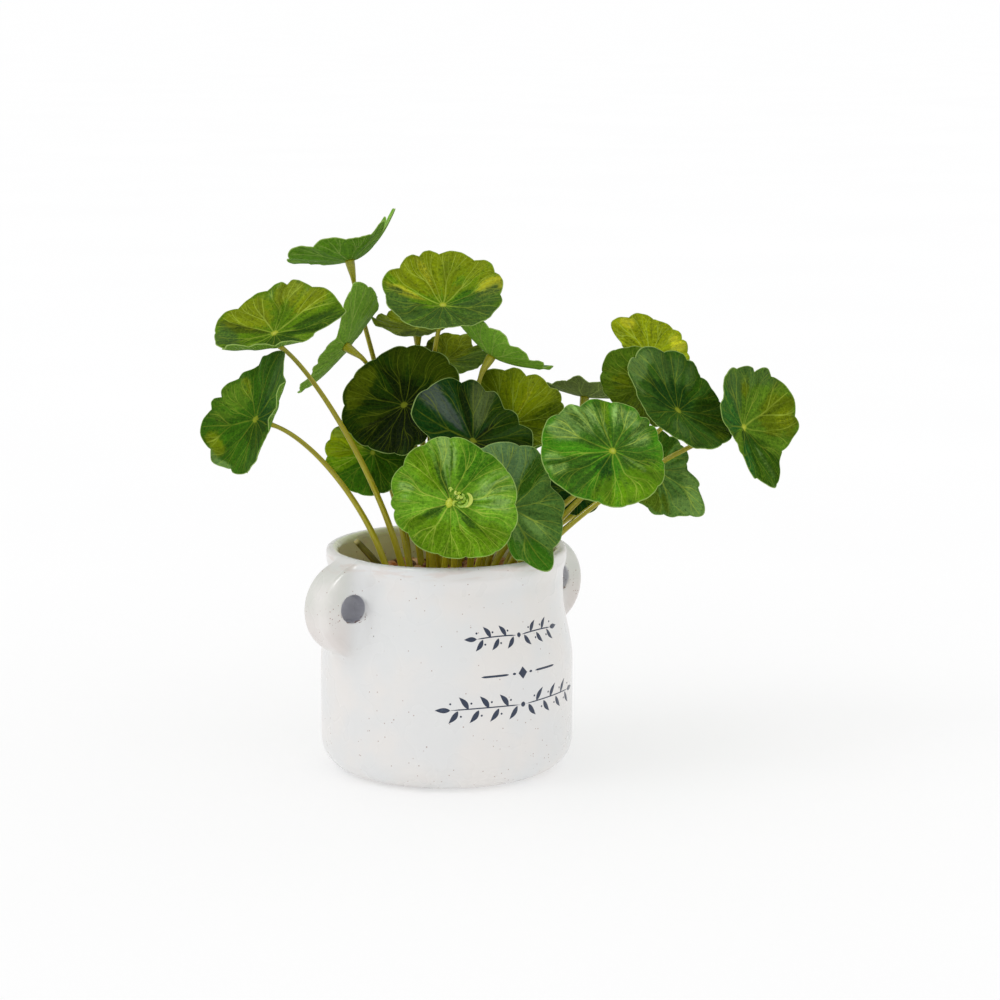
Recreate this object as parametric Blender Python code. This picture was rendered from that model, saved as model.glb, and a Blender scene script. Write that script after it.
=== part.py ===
"""A potted asiatic pennywort.

A white glazed crock with two pierced ears holds soil under a layer of small pebbles. The leaf stalks stand
in holes in both, and each of them carries a nearly round, scalloped blade at its middle.

The origin is the middle of the crock's base, +Z is up, and the front of the crock faces -Y. Sizes are in
millimetres and become metres where a mesh is made. The plant is laid out in a frame of its own, turned
in the crock: there x runs to the right, y away and z up from the same origin.
"""

import math
from dataclasses import dataclass

import bpy
import numpy as np

MM = 0.001
TAU = 2 * math.pi
TOUCHING = 0.3
PLANT_TURN = math.radians(-37)

POT_SIDES = 36
POT_HEIGHT = 98.0
FOOT_R = 42.5
FOOT_ROUND = 13.0
BODY_R = 55.5
SHOULDER_Z = 47.0
NECK_R = 51.2
NECK_Z = 78.0
LIP_Z = 88.0
LIP_R = 52.6
LIP_ROUND = 1.8
FLOOR = 5.0
INNER_R = 51.2
INNER_ROUND = 9.0
INNER_SHOULDER_Z = 54.0
INNER_NECK_Z = 74.0
INNER_NECK_R = 47.2
MOUTH_EASE = ((0.0, -3.0), (0.7, -1.4), (2.1, -0.4), (4.3, 0.4), (4.3, 3.0))

EAR_CENTRE = (49.5, 76.0)
EAR_R = 20.5
EAR_THICK = 18.0
EAR_EDGE = 3.0
EAR_SIDES = 24
EAR_HOLE = (55.4, 78.0)
EAR_HOLE_R = 6.0
FILLET_REACH = 7.0
FILLET_RISE = 4.0

SOIL_TOP = 77.0
PEBBLE_BED_TOP = 82.5
PEBBLES = 100
PEBBLE_SEED = 5
PEBBLE_FIELD_R = 43.0
PEBBLE_CLEAR = 3.4
PEBBLE_LIFT = (0.1, 0.9)
PEBBLE_LEAST = (3.5, 2.8, 2.1)
PEBBLE_MOST = (4.2, 3.4, 2.6)
PEBBLE_LEAN = 0.3
GRAVEL_Z = 85.0

BLADE_T = 0.7
SEAT_R = 2.4
RING_CORNERS = (1, 2, 3)
RING_REACH = (0.36, 0.74, 1.0)
NOTCH = 0.06
NOTCH_SWAY = 0.55
LOBE_SWAY = (0.09, 0.05, 0.035, 0.04)
OVAL = 0.03
PUCKER = 1.6
PUCKER_LEVEL = 0.6

STALK_SIDES = 5
STALK_STEPS = 6
STALK_TIP_R = 1.25
FIRST_HANDLE = 0.36
FLARE = 7.0
FLARE_R = 1.9
SEAT_EDGE = 0.9
SEAT_EDGE_R = 2.1
BURIED = 14.0
HOLE_CLEARANCE = 0.4

STUB_ROOT = (-28, 5, GRAVEL_Z)
STUB_TOP = (-40, 5, 99)
STUB_R = 1.45

BUD_BLADE = 8
BUD_MIDDLE = (6.4, 1.0)
BUD_ARC_R = 2.7
BUD_ARC = (-170, 70)
BUD_R = 1.35
BUD_R_SWING = 0.3
BUD_LIFT = 0.4
BUDS = 7


@dataclass
class Leaf:
    """One blade with its stalk.

    at, radius: the blade's middle and its radius. tilt, facing: degrees from level, and the direction that
    the upper face leans towards (0 is towards -y). cup lifts the whole edge; curl lifts the side at
    curl_at. rim gives the edge where it isn't plainly round: percents of the radius, sixteen even ways
    round from the side axis. root is where the stalk leaves the pebbles; lean, neck and sway shape the
    stalk's curve; foot is its radius there.
    """

    at: tuple
    radius: float
    tilt: float
    facing: float
    root: tuple
    lobes: int = 12
    cup: float = 4
    curl: float = 0
    curl_at: float = -90
    lean: float = 0.5
    neck: float = 0.22
    sway: tuple = (0, 0)
    foot: float = 1.7
    rim: tuple = ()


LEAVES = [
    Leaf(
        (-43, 32, 220), 26, 19.7, -140.6, (-12, 29), cup=4.9,
        curl=17.6, curl_at=158, neck=0.1, sway=(-2, 8),
        rim=(122, 111, 99, 86, 112, 73, 98, 84, 92, 90, 103, 105, 85, 87, 106, 100),
    ),
    Leaf(
        (-72, -25, 194), 27, 39, -22, (-18, -12), cup=1.9,
        curl=21.3, curl_at=-77, lean=0.9, neck=0.12, sway=(11, 0),
        rim=(74, 121, 113, 112, 109, 98, 92, 104, 107, 94, 82, 98, 97, 89, 93, 86),
    ),
    Leaf(
        (-44, 6, 185), 28, 59.7, -112.9, (-17, 20), cup=4.6, curl=5, curl_at=-123, neck=0.14, sway=(0, 8),
        rim=(56, 43, 66, 108, 104, 98, 101, 114, 82, 79, 109, 110, 110, 91, 66, 59),
    ),
    Leaf(
        (-1, -8, 204), 28, 40, 5, (-3, 13), lobes=13, curl=5, neck=0.26, sway=(-6, 0),
        rim=(92, 100, 106, 105, 106, 102, 99, 100, 88, 78, 76, 68, 58, 58, 70, 80),
    ),
    Leaf(
        (-80, -30, 158), 27, 69.8, -44, (-24, -19), cup=2.4, curl=14.1, curl_at=-6.5, sway=(5, 0),
        rim=(109, 120, 102, 123, 101, 83, 89, 95, 105, 108, 105, 93, 91, 94, 95, 58),
    ),
    Leaf(
        (-18, -2, 160), 27, 70, -5, (-6, 7), lobes=13,
        rim=(83, 101, 103, 99, 98, 91, 90, 96, 101, 103, 96, 87, 86, 72, 68, 72),
    ),
    Leaf(
        (12, -20, 147), 23, 55, 8, (3, -7), curl=8,
        rim=(110, 95, 89, 105, 120, 129, 133, 126, 84, 73, 67, 64, 64, 69, 83, 118),
    ),
    Leaf(
        (3, -56, 127), 27.5, 70, -3, (-1, -27), lobes=13, cup=3,
        rim=(103, 101, 96, 96, 102, 99, 98, 96, 91, 89, 85, 85, 87, 94, 108, 108),
    ),
    Leaf(
        (71, -45, 147), 27, 52, 4, (25, -8), lobes=13, cup=3, sway=(0, 5),
        rim=(77, 76, 76, 80, 87, 93, 102, 112, 116, 118, 108, 102, 109, 104, 98, 85),
    ),
    Leaf(
        (-32, 5, 138), 19.5, 68, -15, (-16, 5), cup=3,
        rim=(90, 80, 78, 78, 82, 89, 98, 104, 106, 106, 102, 101, 103, 106, 108, 102),
    ),
    Leaf(
        (28, -37, 121), 26, 78, 20, (12, -19), lobes=11, cup=0, curl=8, curl_at=-80,
        rim=(94, 83, 98, 109, 109, 113, 105, 94, 84, 75, 62, 42, 87, 115, 96, 92),
    ),
    Leaf(
        (20, 4, 181), 23.5, 34, 112, (10, -2), cup=7, sway=(3, 0),
        rim=(115, 105, 96, 92, 92, 97, 105, 103, 98, 98, 104, 108, 112, 116, 118, 120),
    ),
    Leaf(
        (-1, 28, 176), 17, 30, 20, (5, 19), lobes=11,
        rim=(107, 92, 119, 93, 83, 70, 64, 55, 53, 55, 62, 74, 77, 80, 97, 108),
    ),
    Leaf(
        (29, 20, 149), 24, 42, 5, (15, 8), cup=5,
        rim=(94, 101, 103, 109, 114, 112, 104, 92, 84, 80, 76, 76, 76, 78, 82, 88),
    ),
    Leaf(
        (-13, 26, 190), 18, 18, 0, (-8, 21),
        rim=(85, 92, 97, 97, 96, 96, 95, 100, 110, 115, 90, 70, 66, 64, 68, 75),
    ),
    Leaf(
        (62, 54, 156), 19, 18, 150, (18, 25), lobes=11,
        rim=(112, 97, 87, 82, 93, 115, 118, 106, 97, 91, 97, 108, 112, 112, 112, 112),
    ),
    Leaf(
        (91, 49, 175), 20, 45, 5, (26, 15),
        rim=(87, 89, 89, 87, 99, 110, 116, 68, 40, 55, 61, 66, 73, 84, 91, 90),
    ),
    Leaf(
        (88, 27, 163), 22, 72, -15, (27, 8), sway=(0, 4),
        rim=(97, 88, 83, 82, 84, 89, 103, 98, 90, 73, 57, 52, 60, 85, 98, 101),
    ),
    Leaf(
        (100, -12, 159), 27, 52, 30, (32, -6), lobes=13, cup=5,
        rim=(80, 74, 82, 100, 109, 116, 110, 82, 68, 60, 56, 62, 79, 88, 94, 87),
    ),
    Leaf(
        (128, -14, 152), 27, 72, 40, (31, -16), cup=2.3, curl=14.7, curl_at=174, sway=(0, 5),
        rim=(115, 117, 119, 102, 99, 92, 71, 82, 38, 32, 32, 45, 86, 112, 84, 93),
    ),
    Leaf(
        (92.5, 10, 130), 22, 80, -5, (30, 2), cup=3, lean=0.35,
        rim=(62, 69, 71, 73, 79, 79, 76, 74, 73, 72, 72, 77, 92, 103, 132, 95),
    ),
    Leaf((57, 8, 123), 14, 70, 20, (20, 3), lobes=10, cup=2, lean=0.3),
    Leaf((-14, 50, 148), 22, 40, -165, (-6, 34), cup=5),
    Leaf((28, 56, 140), 20, 48, 170, (6, 32)),
    Leaf((71, 67, 130), 18, 45, 140, (21, 19), lean=0.35),
    Leaf((12, 63, 114), 16, 55, 180, (0, 28), cup=3, lean=0.2),
]


def material(name, colour, roughness, coat=0.0):
    """A Principled BSDF of its own."""
    made = bpy.data.materials.new(name)
    made.use_nodes = True
    shader = made.node_tree.nodes["Principled BSDF"]
    shader.inputs["Base Color"].default_value = (*colour, 1)
    shader.inputs["Roughness"].default_value = roughness
    shader.inputs["Metallic"].default_value = 0
    shader.inputs["Coat Weight"].default_value = coat
    return made


def mesh_object(name, points, faces, look=None, place=(0, 0, 0)):
    """An object with this mesh, both in millimetres. Round pieces are shaded smooth."""
    mesh = bpy.data.meshes.new(name)
    mesh.from_pydata((np.asarray(points) * MM).tolist(), [], [tuple(map(int, face)) for face in faces])
    mesh.shade_smooth()
    mesh.set_sharp_from_angle(angle=math.radians(35))
    made = bpy.data.objects.new(name, mesh)
    made.location = [value * MM for value in place]
    if look:
        mesh.materials.append(look)
    bpy.context.scene.collection.objects.link(made)
    return made


def as_cutter(cutter):
    """Leaves the object out of the model: it only cuts others."""
    cutter.hide_render = True
    cutter.display_type = "WIRE"
    return cutter


def boolean(target, operation, other):
    """A Boolean modifier whose other side is an object or a collection."""
    modifier = target.modifiers.new(operation.title(), "BOOLEAN")
    modifier.operation = operation
    modifier.solver = "EXACT"
    if isinstance(other, bpy.types.Collection):
        modifier.operand_type = "COLLECTION"
        modifier.collection = other
    else:
        modifier.object = other


def apply_modifiers(target):
    """Gives the object its evaluated mesh."""
    graph = bpy.context.evaluated_depsgraph_get()
    mesh = bpy.data.meshes.new_from_object(target.evaluated_get(graph))
    target.modifiers.clear()
    target.data = mesh


def grid_faces(rows, columns):
    """Quads between rows of points that each close round, with a fan to one last point at both ends.

    Point 0 is the first pole, then the rows follow, and the last point is the other pole.
    """
    faces = [(0, 1 + (k + 1) % columns, 1 + k) for k in range(columns)]
    for row in range(rows - 1):
        for k in range(columns):
            a = 1 + row * columns + k
            b = 1 + row * columns + (k + 1) % columns
            faces.append((a, b, b + columns, a + columns))
    last = 1 + (rows - 1) * columns
    faces += [(last + k, last + (k + 1) % columns, rows * columns + 1) for k in range(columns)]
    return faces


def smooth_step(share):
    return share * share * (3 - 2 * share)


def arc(middle, radius, start, end, steps):
    """Points of a round stretch of a section, from one angle in degrees to another."""
    angles = np.radians(np.linspace(start, end, steps))
    return [(middle[0] + radius * math.cos(a), middle[1] + radius * math.sin(a)) for a in angles]


def turned(name, section, look=None, sides=POT_SIDES):
    """A solid turned about Z. The section runs from the axis below, outwards and up, to the axis above."""
    turn = np.arange(sides) * TAU / sides
    radius, height = np.array(section[1:-1]).T
    rings = np.stack(
        [
            np.outer(radius, np.cos(turn)),
            np.outer(radius, np.sin(turn)),
            np.repeat(height[:, None], sides, axis=1),
        ],
        axis=-1,
    )
    poles = [(0, 0, section[0][1]), (0, 0, section[-1][1])]
    points = np.concatenate([[poles[0]], rings.reshape(-1, 3), [poles[1]]])
    return mesh_object(name, points, grid_faces(len(radius), sides), look)


def wall_radius(height):
    """Outer radius of the crock between its foot and its lip: a soft shoulder from the body to the neck."""
    share = np.clip((np.asarray(height) - SHOULDER_Z) / (NECK_Z - SHOULDER_Z), 0, 1)
    return BODY_R + (NECK_R - BODY_R) * smooth_step(share)


def crock_section():
    """Outside of the crock: rounded foot, straight body, shoulder, neck and rolled lip."""
    section = [(0, 0)]
    section += arc((FOOT_R, FOOT_ROUND), FOOT_ROUND, -90, 0, 5)
    section += [(float(wall_radius(z)), z) for z in np.linspace(SHOULDER_Z, NECK_Z, 5)]
    section += [(NECK_R, LIP_Z), (LIP_R, (LIP_Z + POT_HEIGHT) / 2)]
    section += arc((LIP_R - LIP_ROUND, POT_HEIGHT - LIP_ROUND), LIP_ROUND, 0, 90, 3)
    return section + [(0, POT_HEIGHT)]


def inner_section(gap):
    """The crock's inside from its floor to its neck, or what lies against it with this gap."""
    middle = (INNER_R - INNER_ROUND, FLOOR + INNER_ROUND)
    section = [(0, FLOOR + gap)]
    section += arc(middle, INNER_ROUND - gap, -90, 0, 4)
    return section + [(INNER_R - gap, INNER_SHOULDER_Z), (INNER_NECK_R - gap, INNER_NECK_Z)]


def cavity_section():
    """Inside of the crock, out past its top."""
    section = inner_section(0)
    section += [(INNER_NECK_R + out, POT_HEIGHT + up) for out, up in MOUTH_EASE]
    return section + [(0, POT_HEIGHT + MOUTH_EASE[-1][1])]


def ear(name, mirror):
    """A round lug with soft edges whose faces and lower edge sweep into the wall.

    Its points lie on a disc about the Y direction. With d the distance outside the wall and
    t = (1 - d / reach)^2, the faces move apart by rise * t and the lower edge sinks by as much.
    """
    edge = arc((EAR_R - EAR_EDGE, EAR_THICK / 2 - EAR_EDGE), EAR_EDGE, 90, 0, 3)
    half = [(EAR_HOLE_R, EAR_THICK / 2), (2 * EAR_HOLE_R, EAR_THICK / 2), *edge]
    section = np.array(half + [(reach, -y) for reach, y in half[::-1]])
    turn = np.arange(EAR_SIDES) * TAU / EAR_SIDES
    reach = section[:, :1]
    across = np.repeat(section[:, 1:], EAR_SIDES, axis=1)
    x = EAR_CENTRE[0] + reach * np.cos(turn)
    z = EAR_CENTRE[1] + reach * np.sin(turn)
    outside = np.hypot(x, across) - wall_radius(z)
    sweep = FILLET_RISE * np.clip(1 - outside / FILLET_REACH, 0, 1) ** 2
    lower = np.clip(-np.sin(turn), 0, 1) * (reach > EAR_R - EAR_EDGE)
    across = across + np.sign(across) * sweep
    z = z - sweep * lower
    rows = np.stack([mirror * x, across, z], axis=-1).reshape(-1, 3)
    face = EAR_THICK / 2 + FILLET_RISE
    poles = [(mirror * EAR_CENTRE[0], side * face, EAR_CENTRE[1]) for side in (1, -1)]
    points = np.concatenate([[poles[0]], rows, [poles[1]]])
    faces = grid_faces(len(section), EAR_SIDES)
    if mirror > 0:
        faces = [face[::-1] for face in faces]
    return as_cutter(mesh_object(name, points, faces))


def ear_hole(name, mirror):
    """The round hole through an ear, along Y."""
    turn = np.arange(EAR_SIDES) * TAU / EAR_SIDES
    x = mirror * EAR_HOLE[0] + EAR_HOLE_R * np.cos(turn)
    z = EAR_HOLE[1] + EAR_HOLE_R * np.sin(turn)
    ends = [np.stack([x, np.full_like(x, y), z], axis=-1) for y in (-EAR_THICK, EAR_THICK)]
    sides = [
        (k, k + EAR_SIDES, (k + 1) % EAR_SIDES + EAR_SIDES, (k + 1) % EAR_SIDES)
        for k in range(EAR_SIDES)
    ]
    caps = [tuple(range(EAR_SIDES)), tuple(range(2 * EAR_SIDES - 1, EAR_SIDES - 1, -1))]
    return as_cutter(mesh_object(name, np.concatenate(ends), sides + caps))


def make_pot():
    """The crock with both ears, hollowed, each ear pierced next to the wall."""
    glaze = material("glaze", (0.86, 0.85, 0.82), 0.28, coat=0.5)
    pot = turned("pot", crock_section(), glaze)
    sides = (("left", -1), ("right", 1))
    for side, mirror in sides:
        boolean(pot, "UNION", ear(f"{side}_ear", mirror))
    boolean(pot, "DIFFERENCE", as_cutter(turned("cavity", cavity_section())))
    for side, mirror in sides:
        boolean(pot, "DIFFERENCE", ear_hole(f"{side}_ear_hole", mirror))


def blade_rotation(leaf):
    return (math.radians(leaf.tilt), 0, math.radians(leaf.facing))


def blade_axes(leaf):
    """Side, uphill and normal directions of a blade in the plant's frame."""
    tilt, _, facing = blade_rotation(leaf)
    side = np.array([math.cos(facing), math.sin(facing), 0.0])
    normal = np.array([math.sin(tilt) * side[1], -math.sin(tilt) * side[0], math.cos(tilt)])
    return side, np.cross(normal, side), normal


def swing(leaf):
    """The leaf's own nine phases, so that no two blades wave alike."""
    return np.random.default_rng(LEAVES.index(leaf)).uniform(0, TAU, 9)


def rim_share(leaf, direction, phase):
    """How far the edge reaches, as a share of the radius.

    With a rim: its shares, evenly spaced ways round, joined by smooth steps of the direction. Without one:
    1 + OVAL sin(2 direction + s3).
    """
    if not leaf.rim:
        return 1 + OVAL * np.sin(2 * direction + phase[3])
    ways = len(leaf.rim)
    share = direction / TAU * ways
    first = np.floor(share).astype(int)
    share = smooth_step(share - first)
    rim = np.array(leaf.rim) / 100
    return rim[first % ways] * (1 - share) + rim[(first + 1) % ways] * share


def blade_points(leaf, reach, turn):
    """Points of the blade's middle surface in its own frame, from the middle (reach 0) to the edge (1).

    direction = turn + s0 + the sum of LOBE_SWAY sin(k turn + s) for k from 2 to 5
    distance = reach radius rim_share (1 - notch (1 - crown^0.75) reach^4), with crown 1 on a lobe and 0
    in a notch, and notch = NOTCH (1 + NOTCH_SWAY sin(3 turn + s7) sin(2 turn + s8))
    lift = cup free^1.4 + curl (free cos(direction - curl_at))^2 on that side + waves, with free the
    share of the way from the stalk's seat to the radius
    waves = free^2 sin(3 direction + s4) + PUCKER free^1.5 (crown - PUCKER_LEVEL).
    """
    phase = swing(leaf)
    crown = np.abs(np.sin(leaf.lobes * turn / 2))
    waves = zip(LOBE_SWAY, (2, 3, 4, 5), phase[[1, 2, 5, 6]])
    direction = turn + phase[0] + sum(size * np.sin(count * turn + start) for size, count, start in waves)
    notch = NOTCH * (1 + NOTCH_SWAY * np.sin(3 * turn + phase[7]) * np.sin(2 * turn + phase[8]))
    edge = leaf.radius * rim_share(leaf, direction, phase)
    distance = reach * edge * (1 - notch * (1 - crown**0.75) * reach**4)
    free = np.clip((distance - SEAT_R) / (leaf.radius - SEAT_R), 0, None)
    curled = np.clip(np.cos(direction - math.radians(leaf.curl_at)), 0, None)
    lift = leaf.cup * free**1.4 + leaf.curl * (free * curled) ** 2
    lift = lift + free**2 * np.sin(3 * direction + phase[4]) + PUCKER * free**1.5 * (crown - PUCKER_LEVEL)
    return np.stack([distance * np.cos(direction), distance * np.sin(direction), lift], axis=-1)


def blade_sheet(leaf):
    """Points and triangles of the middle surface: a middle point and three rings, finer outwards."""
    rings = [np.zeros((1, 3))]
    for corners, reach in zip(RING_CORNERS, RING_REACH):
        count = leaf.lobes * corners
        rings.append(blade_points(leaf, np.full(count, reach), np.arange(count) * TAU / count))
    starts = np.cumsum([len(ring) for ring in rings])

    def corner(ring, lobe, step):
        return starts[ring] + (lobe * RING_CORNERS[ring] + step) % (leaf.lobes * RING_CORNERS[ring])

    faces = []
    for lobe in range(leaf.lobes):
        a0, a1 = (corner(0, lobe, step) for step in range(2))
        b0, b1, b2 = (corner(1, lobe, step) for step in range(3))
        c0, c1, c2, c3 = (corner(2, lobe, step) for step in range(4))
        faces += [(0, a0, a1), (a0, b0, b1), (a0, b1, a1), (a1, b1, b2)]
        faces += [(b0, c0, c1), (b0, c1, b1), (b1, c1, c2), (b1, c2, b2), (b2, c2, c3)]
    points = np.concatenate(rings)
    return points, np.array(faces), np.arange(starts[2], len(points))


def point_normals(points, faces):
    """Mean normals of the faces round each point."""
    across = np.cross(points[faces[:, 1]] - points[faces[:, 0]], points[faces[:, 2]] - points[faces[:, 0]])
    normals = np.zeros_like(points)
    for k in range(3):
        np.add.at(normals, faces[:, k], across)
    return normals / np.linalg.norm(normals, axis=1)[:, None]


def make_blade(number, leaf, plant, look):
    """A thin closed sheet, split into triangles alike on both faces."""
    points, faces, rim = blade_sheet(leaf)
    half = point_normals(points, faces) * BLADE_T / 2
    under = len(points)
    after = np.roll(rim, -1)
    edge = [(rim, rim + under, after + under), (rim, after + under, after)]
    faces = np.concatenate([faces, faces[:, ::-1] + under, *(np.stack(side, axis=1) for side in edge)])
    points = np.concatenate([points + half, points - half])
    blade = mesh_object(f"blade_{number:02d}", points, faces, look, leaf.at)
    blade.rotation_euler = blade_rotation(leaf)
    blade.parent = plant


def stalk_curve(leaf):
    """A Bezier curve from the pebbles to the foot of the flare under the blade."""
    normal = blade_axes(leaf)[2]
    root = np.array([*leaf.root, GRAVEL_Z])
    foot = np.array(leaf.at) - normal * (BLADE_T / 2 + TOUCHING + FLARE)
    span = foot - root
    length = np.linalg.norm(span)
    start = span * (leaf.lean, leaf.lean, 1)
    sway = np.array([*leaf.sway, 0.0])
    first = root + start / np.linalg.norm(start) * length * FIRST_HANDLE + sway
    second = foot - normal * leaf.neck * length + sway
    t = np.linspace(0, 1, STALK_STEPS + 1)[:, None]
    return root * (1 - t) ** 3 + 3 * first * t * (1 - t) ** 2 + 3 * second * t**2 * (1 - t) + foot * t**3


def stalk_path(leaf):
    """Points and radii from the buried end to the seat: a slender taper, then a flare under the blade."""
    curve = stalk_curve(leaf)
    normal = blade_axes(leaf)[2]
    seat = np.array(leaf.at) - normal * (BLADE_T / 2 + TOUCHING)
    buried = curve[0] - unit(curve[1] - curve[0]) * BURIED
    taper = np.linspace(leaf.foot, STALK_TIP_R, STALK_STEPS + 1)
    points = np.array([buried, *curve, seat - normal * SEAT_EDGE, seat])
    return points, np.array([leaf.foot, *taper, FLARE_R, SEAT_EDGE_R])


def hole_path(points, radii):
    """The clear way for the buried stretch of a stalk, from just below its end to above the pebbles."""
    deeper = points[0] - unit(points[1] - points[0]) * TOUCHING
    return np.array([deeper, points[1], points[2]]), radii[:3] + HOLE_CLEARANCE


def unit(vector):
    return vector / np.linalg.norm(vector)


def tube(points, radii):
    """Points and faces of a tube with flat ends whose rings keep their turn along the way."""
    steps = np.diff(points, axis=0)
    steps /= np.linalg.norm(steps, axis=1)[:, None]
    tangents = np.concatenate([steps[:1], steps[:-1] + steps[1:], steps[-1:]])
    turn = np.arange(STALK_SIDES) * TAU / STALK_SIDES
    side = np.array([1.0, 0.0, 0.0])
    rings = []
    for point, radius, tangent in zip(points, radii, tangents):
        tangent = unit(tangent)
        side = unit(side - tangent * (side @ tangent))
        other = np.cross(tangent, side)
        rings.append(point + radius * (np.outer(np.cos(turn), side) + np.outer(np.sin(turn), other)))
    faces = []
    for row in range(len(points) - 1):
        for k in range(STALK_SIDES):
            a = row * STALK_SIDES + k
            b = row * STALK_SIDES + (k + 1) % STALK_SIDES
            faces += [(a, b, b + STALK_SIDES), (a, b + STALK_SIDES, a + STALK_SIDES)]
    last = (len(points) - 1) * STALK_SIDES
    caps = [tuple(range(STALK_SIDES - 1, -1, -1)), tuple(range(last, last + STALK_SIDES))]
    return np.concatenate(rings), faces + caps


def make_stalk(name, path, plant, look, holes):
    """A stalk that stands in the fill, and the cutter of its hole."""
    stalk = mesh_object(name, *tube(*path), look)
    stalk.parent = plant
    cutter = as_cutter(mesh_object(f"{name}_hole", *tube(*hole_path(*path))))
    cutter.parent = plant
    bpy.context.scene.collection.objects.unlink(cutter)
    holes.objects.link(cutter)


def stub_path():
    """A bare stalk that was cut off short above the pebbles."""
    root, top = np.array(STUB_ROOT, float), np.array(STUB_TOP, float)
    buried = root - unit(top - root) * BURIED
    return np.array([buried, root, top]), np.full(3, STUB_R)


def make_soil(holes):
    """The fill, a plug that follows the crock's inside, with a blind hole for each stalk."""
    soil = material("soil", (0.09, 0.055, 0.035), 0.95)
    section = inner_section(TOUCHING) + [(INNER_NECK_R - TOUCHING, SOIL_TOP), (0, SOIL_TOP)]
    boolean(turned("soil", section, soil), "DIFFERENCE", holes)


def pebble_places():
    """Middles of the pebbles, spread as in a sunflower and kept off the stalks."""
    chance = np.random.default_rng(PEBBLE_SEED)
    number = np.arange(PEBBLES)
    reach = PEBBLE_FIELD_R * np.sqrt((number + 0.5) / PEBBLES)
    turn = number * math.pi * (3 - math.sqrt(5))
    places = np.stack([reach * np.cos(turn), reach * np.sin(turn)], axis=1)
    roots = np.array([leaf.root for leaf in LEAVES] + [STUB_ROOT[:2]])
    turned_roots = roots @ [
        [math.cos(PLANT_TURN), math.sin(PLANT_TURN)],
        [-math.sin(PLANT_TURN), math.cos(PLANT_TURN)],
    ]
    clear = np.linalg.norm(places[:, None] - turned_roots, axis=2).min(axis=1) > PEBBLE_CLEAR
    height = PEBBLE_BED_TOP + chance.uniform(*PEBBLE_LIFT, PEBBLES)
    return np.column_stack([places, height])[clear]


def pebble_shape():
    """Points and faces of a stone before it is stretched: an icosahedron of radius 1."""
    belt = np.arange(5) * TAU / 5
    level = 1 / math.sqrt(5)
    out = 2 / math.sqrt(5)
    lower = np.stack([out * np.cos(belt), out * np.sin(belt), np.full(5, -level)], axis=1)
    belt = belt + TAU / 10
    upper = np.stack([out * np.cos(belt), out * np.sin(belt), np.full(5, level)], axis=1)
    faces = []
    for k in range(5):
        a, b = 1 + k, 1 + (k + 1) % 5
        faces += [(0, b, a), (a, b, a + 5), (b, b + 5, a + 5), (a + 5, b + 5, 11)]
    return np.concatenate([[(0, 0, -1)], lower, upper, [(0, 0, 1)]]), faces


def make_pebbles(holes):
    """Small stones that lie in one layer, joined in their bed."""
    stone = material("pebble", (0.42, 0.22, 0.09), 0.6)
    chance = np.random.default_rng(PEBBLE_SEED + 1)
    radius = INNER_NECK_R - TOUCHING
    base = SOIL_TOP + TOUCHING
    bed = turned("pebbles", [(0, base), (radius, base), (radius, PEBBLE_BED_TOP), (0, PEBBLE_BED_TOP)], stone)
    stones = bpy.data.collections.new("stones")
    bpy.context.scene.collection.children.link(stones)
    points, faces = pebble_shape()
    for place in pebble_places():
        size = chance.uniform(PEBBLE_LEAST, PEBBLE_MOST)
        pebble = mesh_object("stone", points * size, faces, stone, place)
        lean = chance.uniform(-PEBBLE_LEAN, PEBBLE_LEAN, 2)
        pebble.rotation_euler = (*lean, chance.uniform(0, TAU))
        bpy.context.scene.collection.objects.unlink(pebble)
        stones.objects.link(pebble)
    boolean(bed, "UNION", stones)
    apply_modifiers(bed)
    for pebble in list(stones.objects):
        bpy.data.objects.remove(pebble)
    bpy.data.collections.remove(stones)
    boolean(bed, "DIFFERENCE", holes)


def make_buds(plant):
    """A curled cluster of small buds that lies on the front blade, next to its middle."""
    leaf = LEAVES[BUD_BLADE - 1]
    look = material("bud", (0.45, 0.55, 0.12), 0.5)
    points, faces = pebble_shape()
    cluster = bpy.data.collections.new("buds")
    bpy.context.scene.collection.children.link(cluster)
    made = []
    for k, angle in enumerate(np.radians(np.linspace(*BUD_ARC, BUDS))):
        size = BUD_R + BUD_R_SWING * math.sin(2.1 * k)
        x = BUD_MIDDLE[0] + BUD_ARC_R * math.cos(angle)
        y = BUD_MIDDLE[1] + BUD_ARC_R * math.sin(angle)
        made.append(mesh_object("bud", points * size + (x, y, BLADE_T + BUD_LIFT + size), faces, look))
    heart, petals = made[0], made[1:]
    heart.name = "flower_buds"
    for petal in petals:
        bpy.context.scene.collection.objects.unlink(petal)
        cluster.objects.link(petal)
    boolean(heart, "UNION", cluster)
    apply_modifiers(heart)
    for petal in petals:
        bpy.data.objects.remove(petal)
    bpy.data.collections.remove(cluster)
    heart.location = [value * MM for value in leaf.at]
    heart.rotation_euler = blade_rotation(leaf)
    heart.parent = plant


def make_plant(holes):
    """Every leaf with its stalk, the buds and the stub, in the plant's own turned frame."""
    plant = bpy.data.objects.new("plant", None)
    plant.rotation_euler.z = PLANT_TURN
    bpy.context.scene.collection.objects.link(plant)
    green = material("leaf", (0.10, 0.24, 0.04), 0.4)
    stem = material("stalk", (0.38, 0.42, 0.07), 0.4)
    for number, leaf in enumerate(LEAVES, 1):
        make_blade(number, leaf, plant, green)
        make_stalk(f"stalk_{number:02d}", stalk_path(leaf), plant, stem, holes)
    make_stalk("cut_stalk", stub_path(), plant, stem, holes)
    make_buds(plant)


def main():
    for existing in list(bpy.data.objects):
        bpy.data.objects.remove(existing)
    holes = bpy.data.collections.new("stalk_holes")
    bpy.context.scene.collection.children.link(holes)
    make_pot()
    make_plant(holes)
    make_soil(holes)
    make_pebbles(holes)


main()
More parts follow.
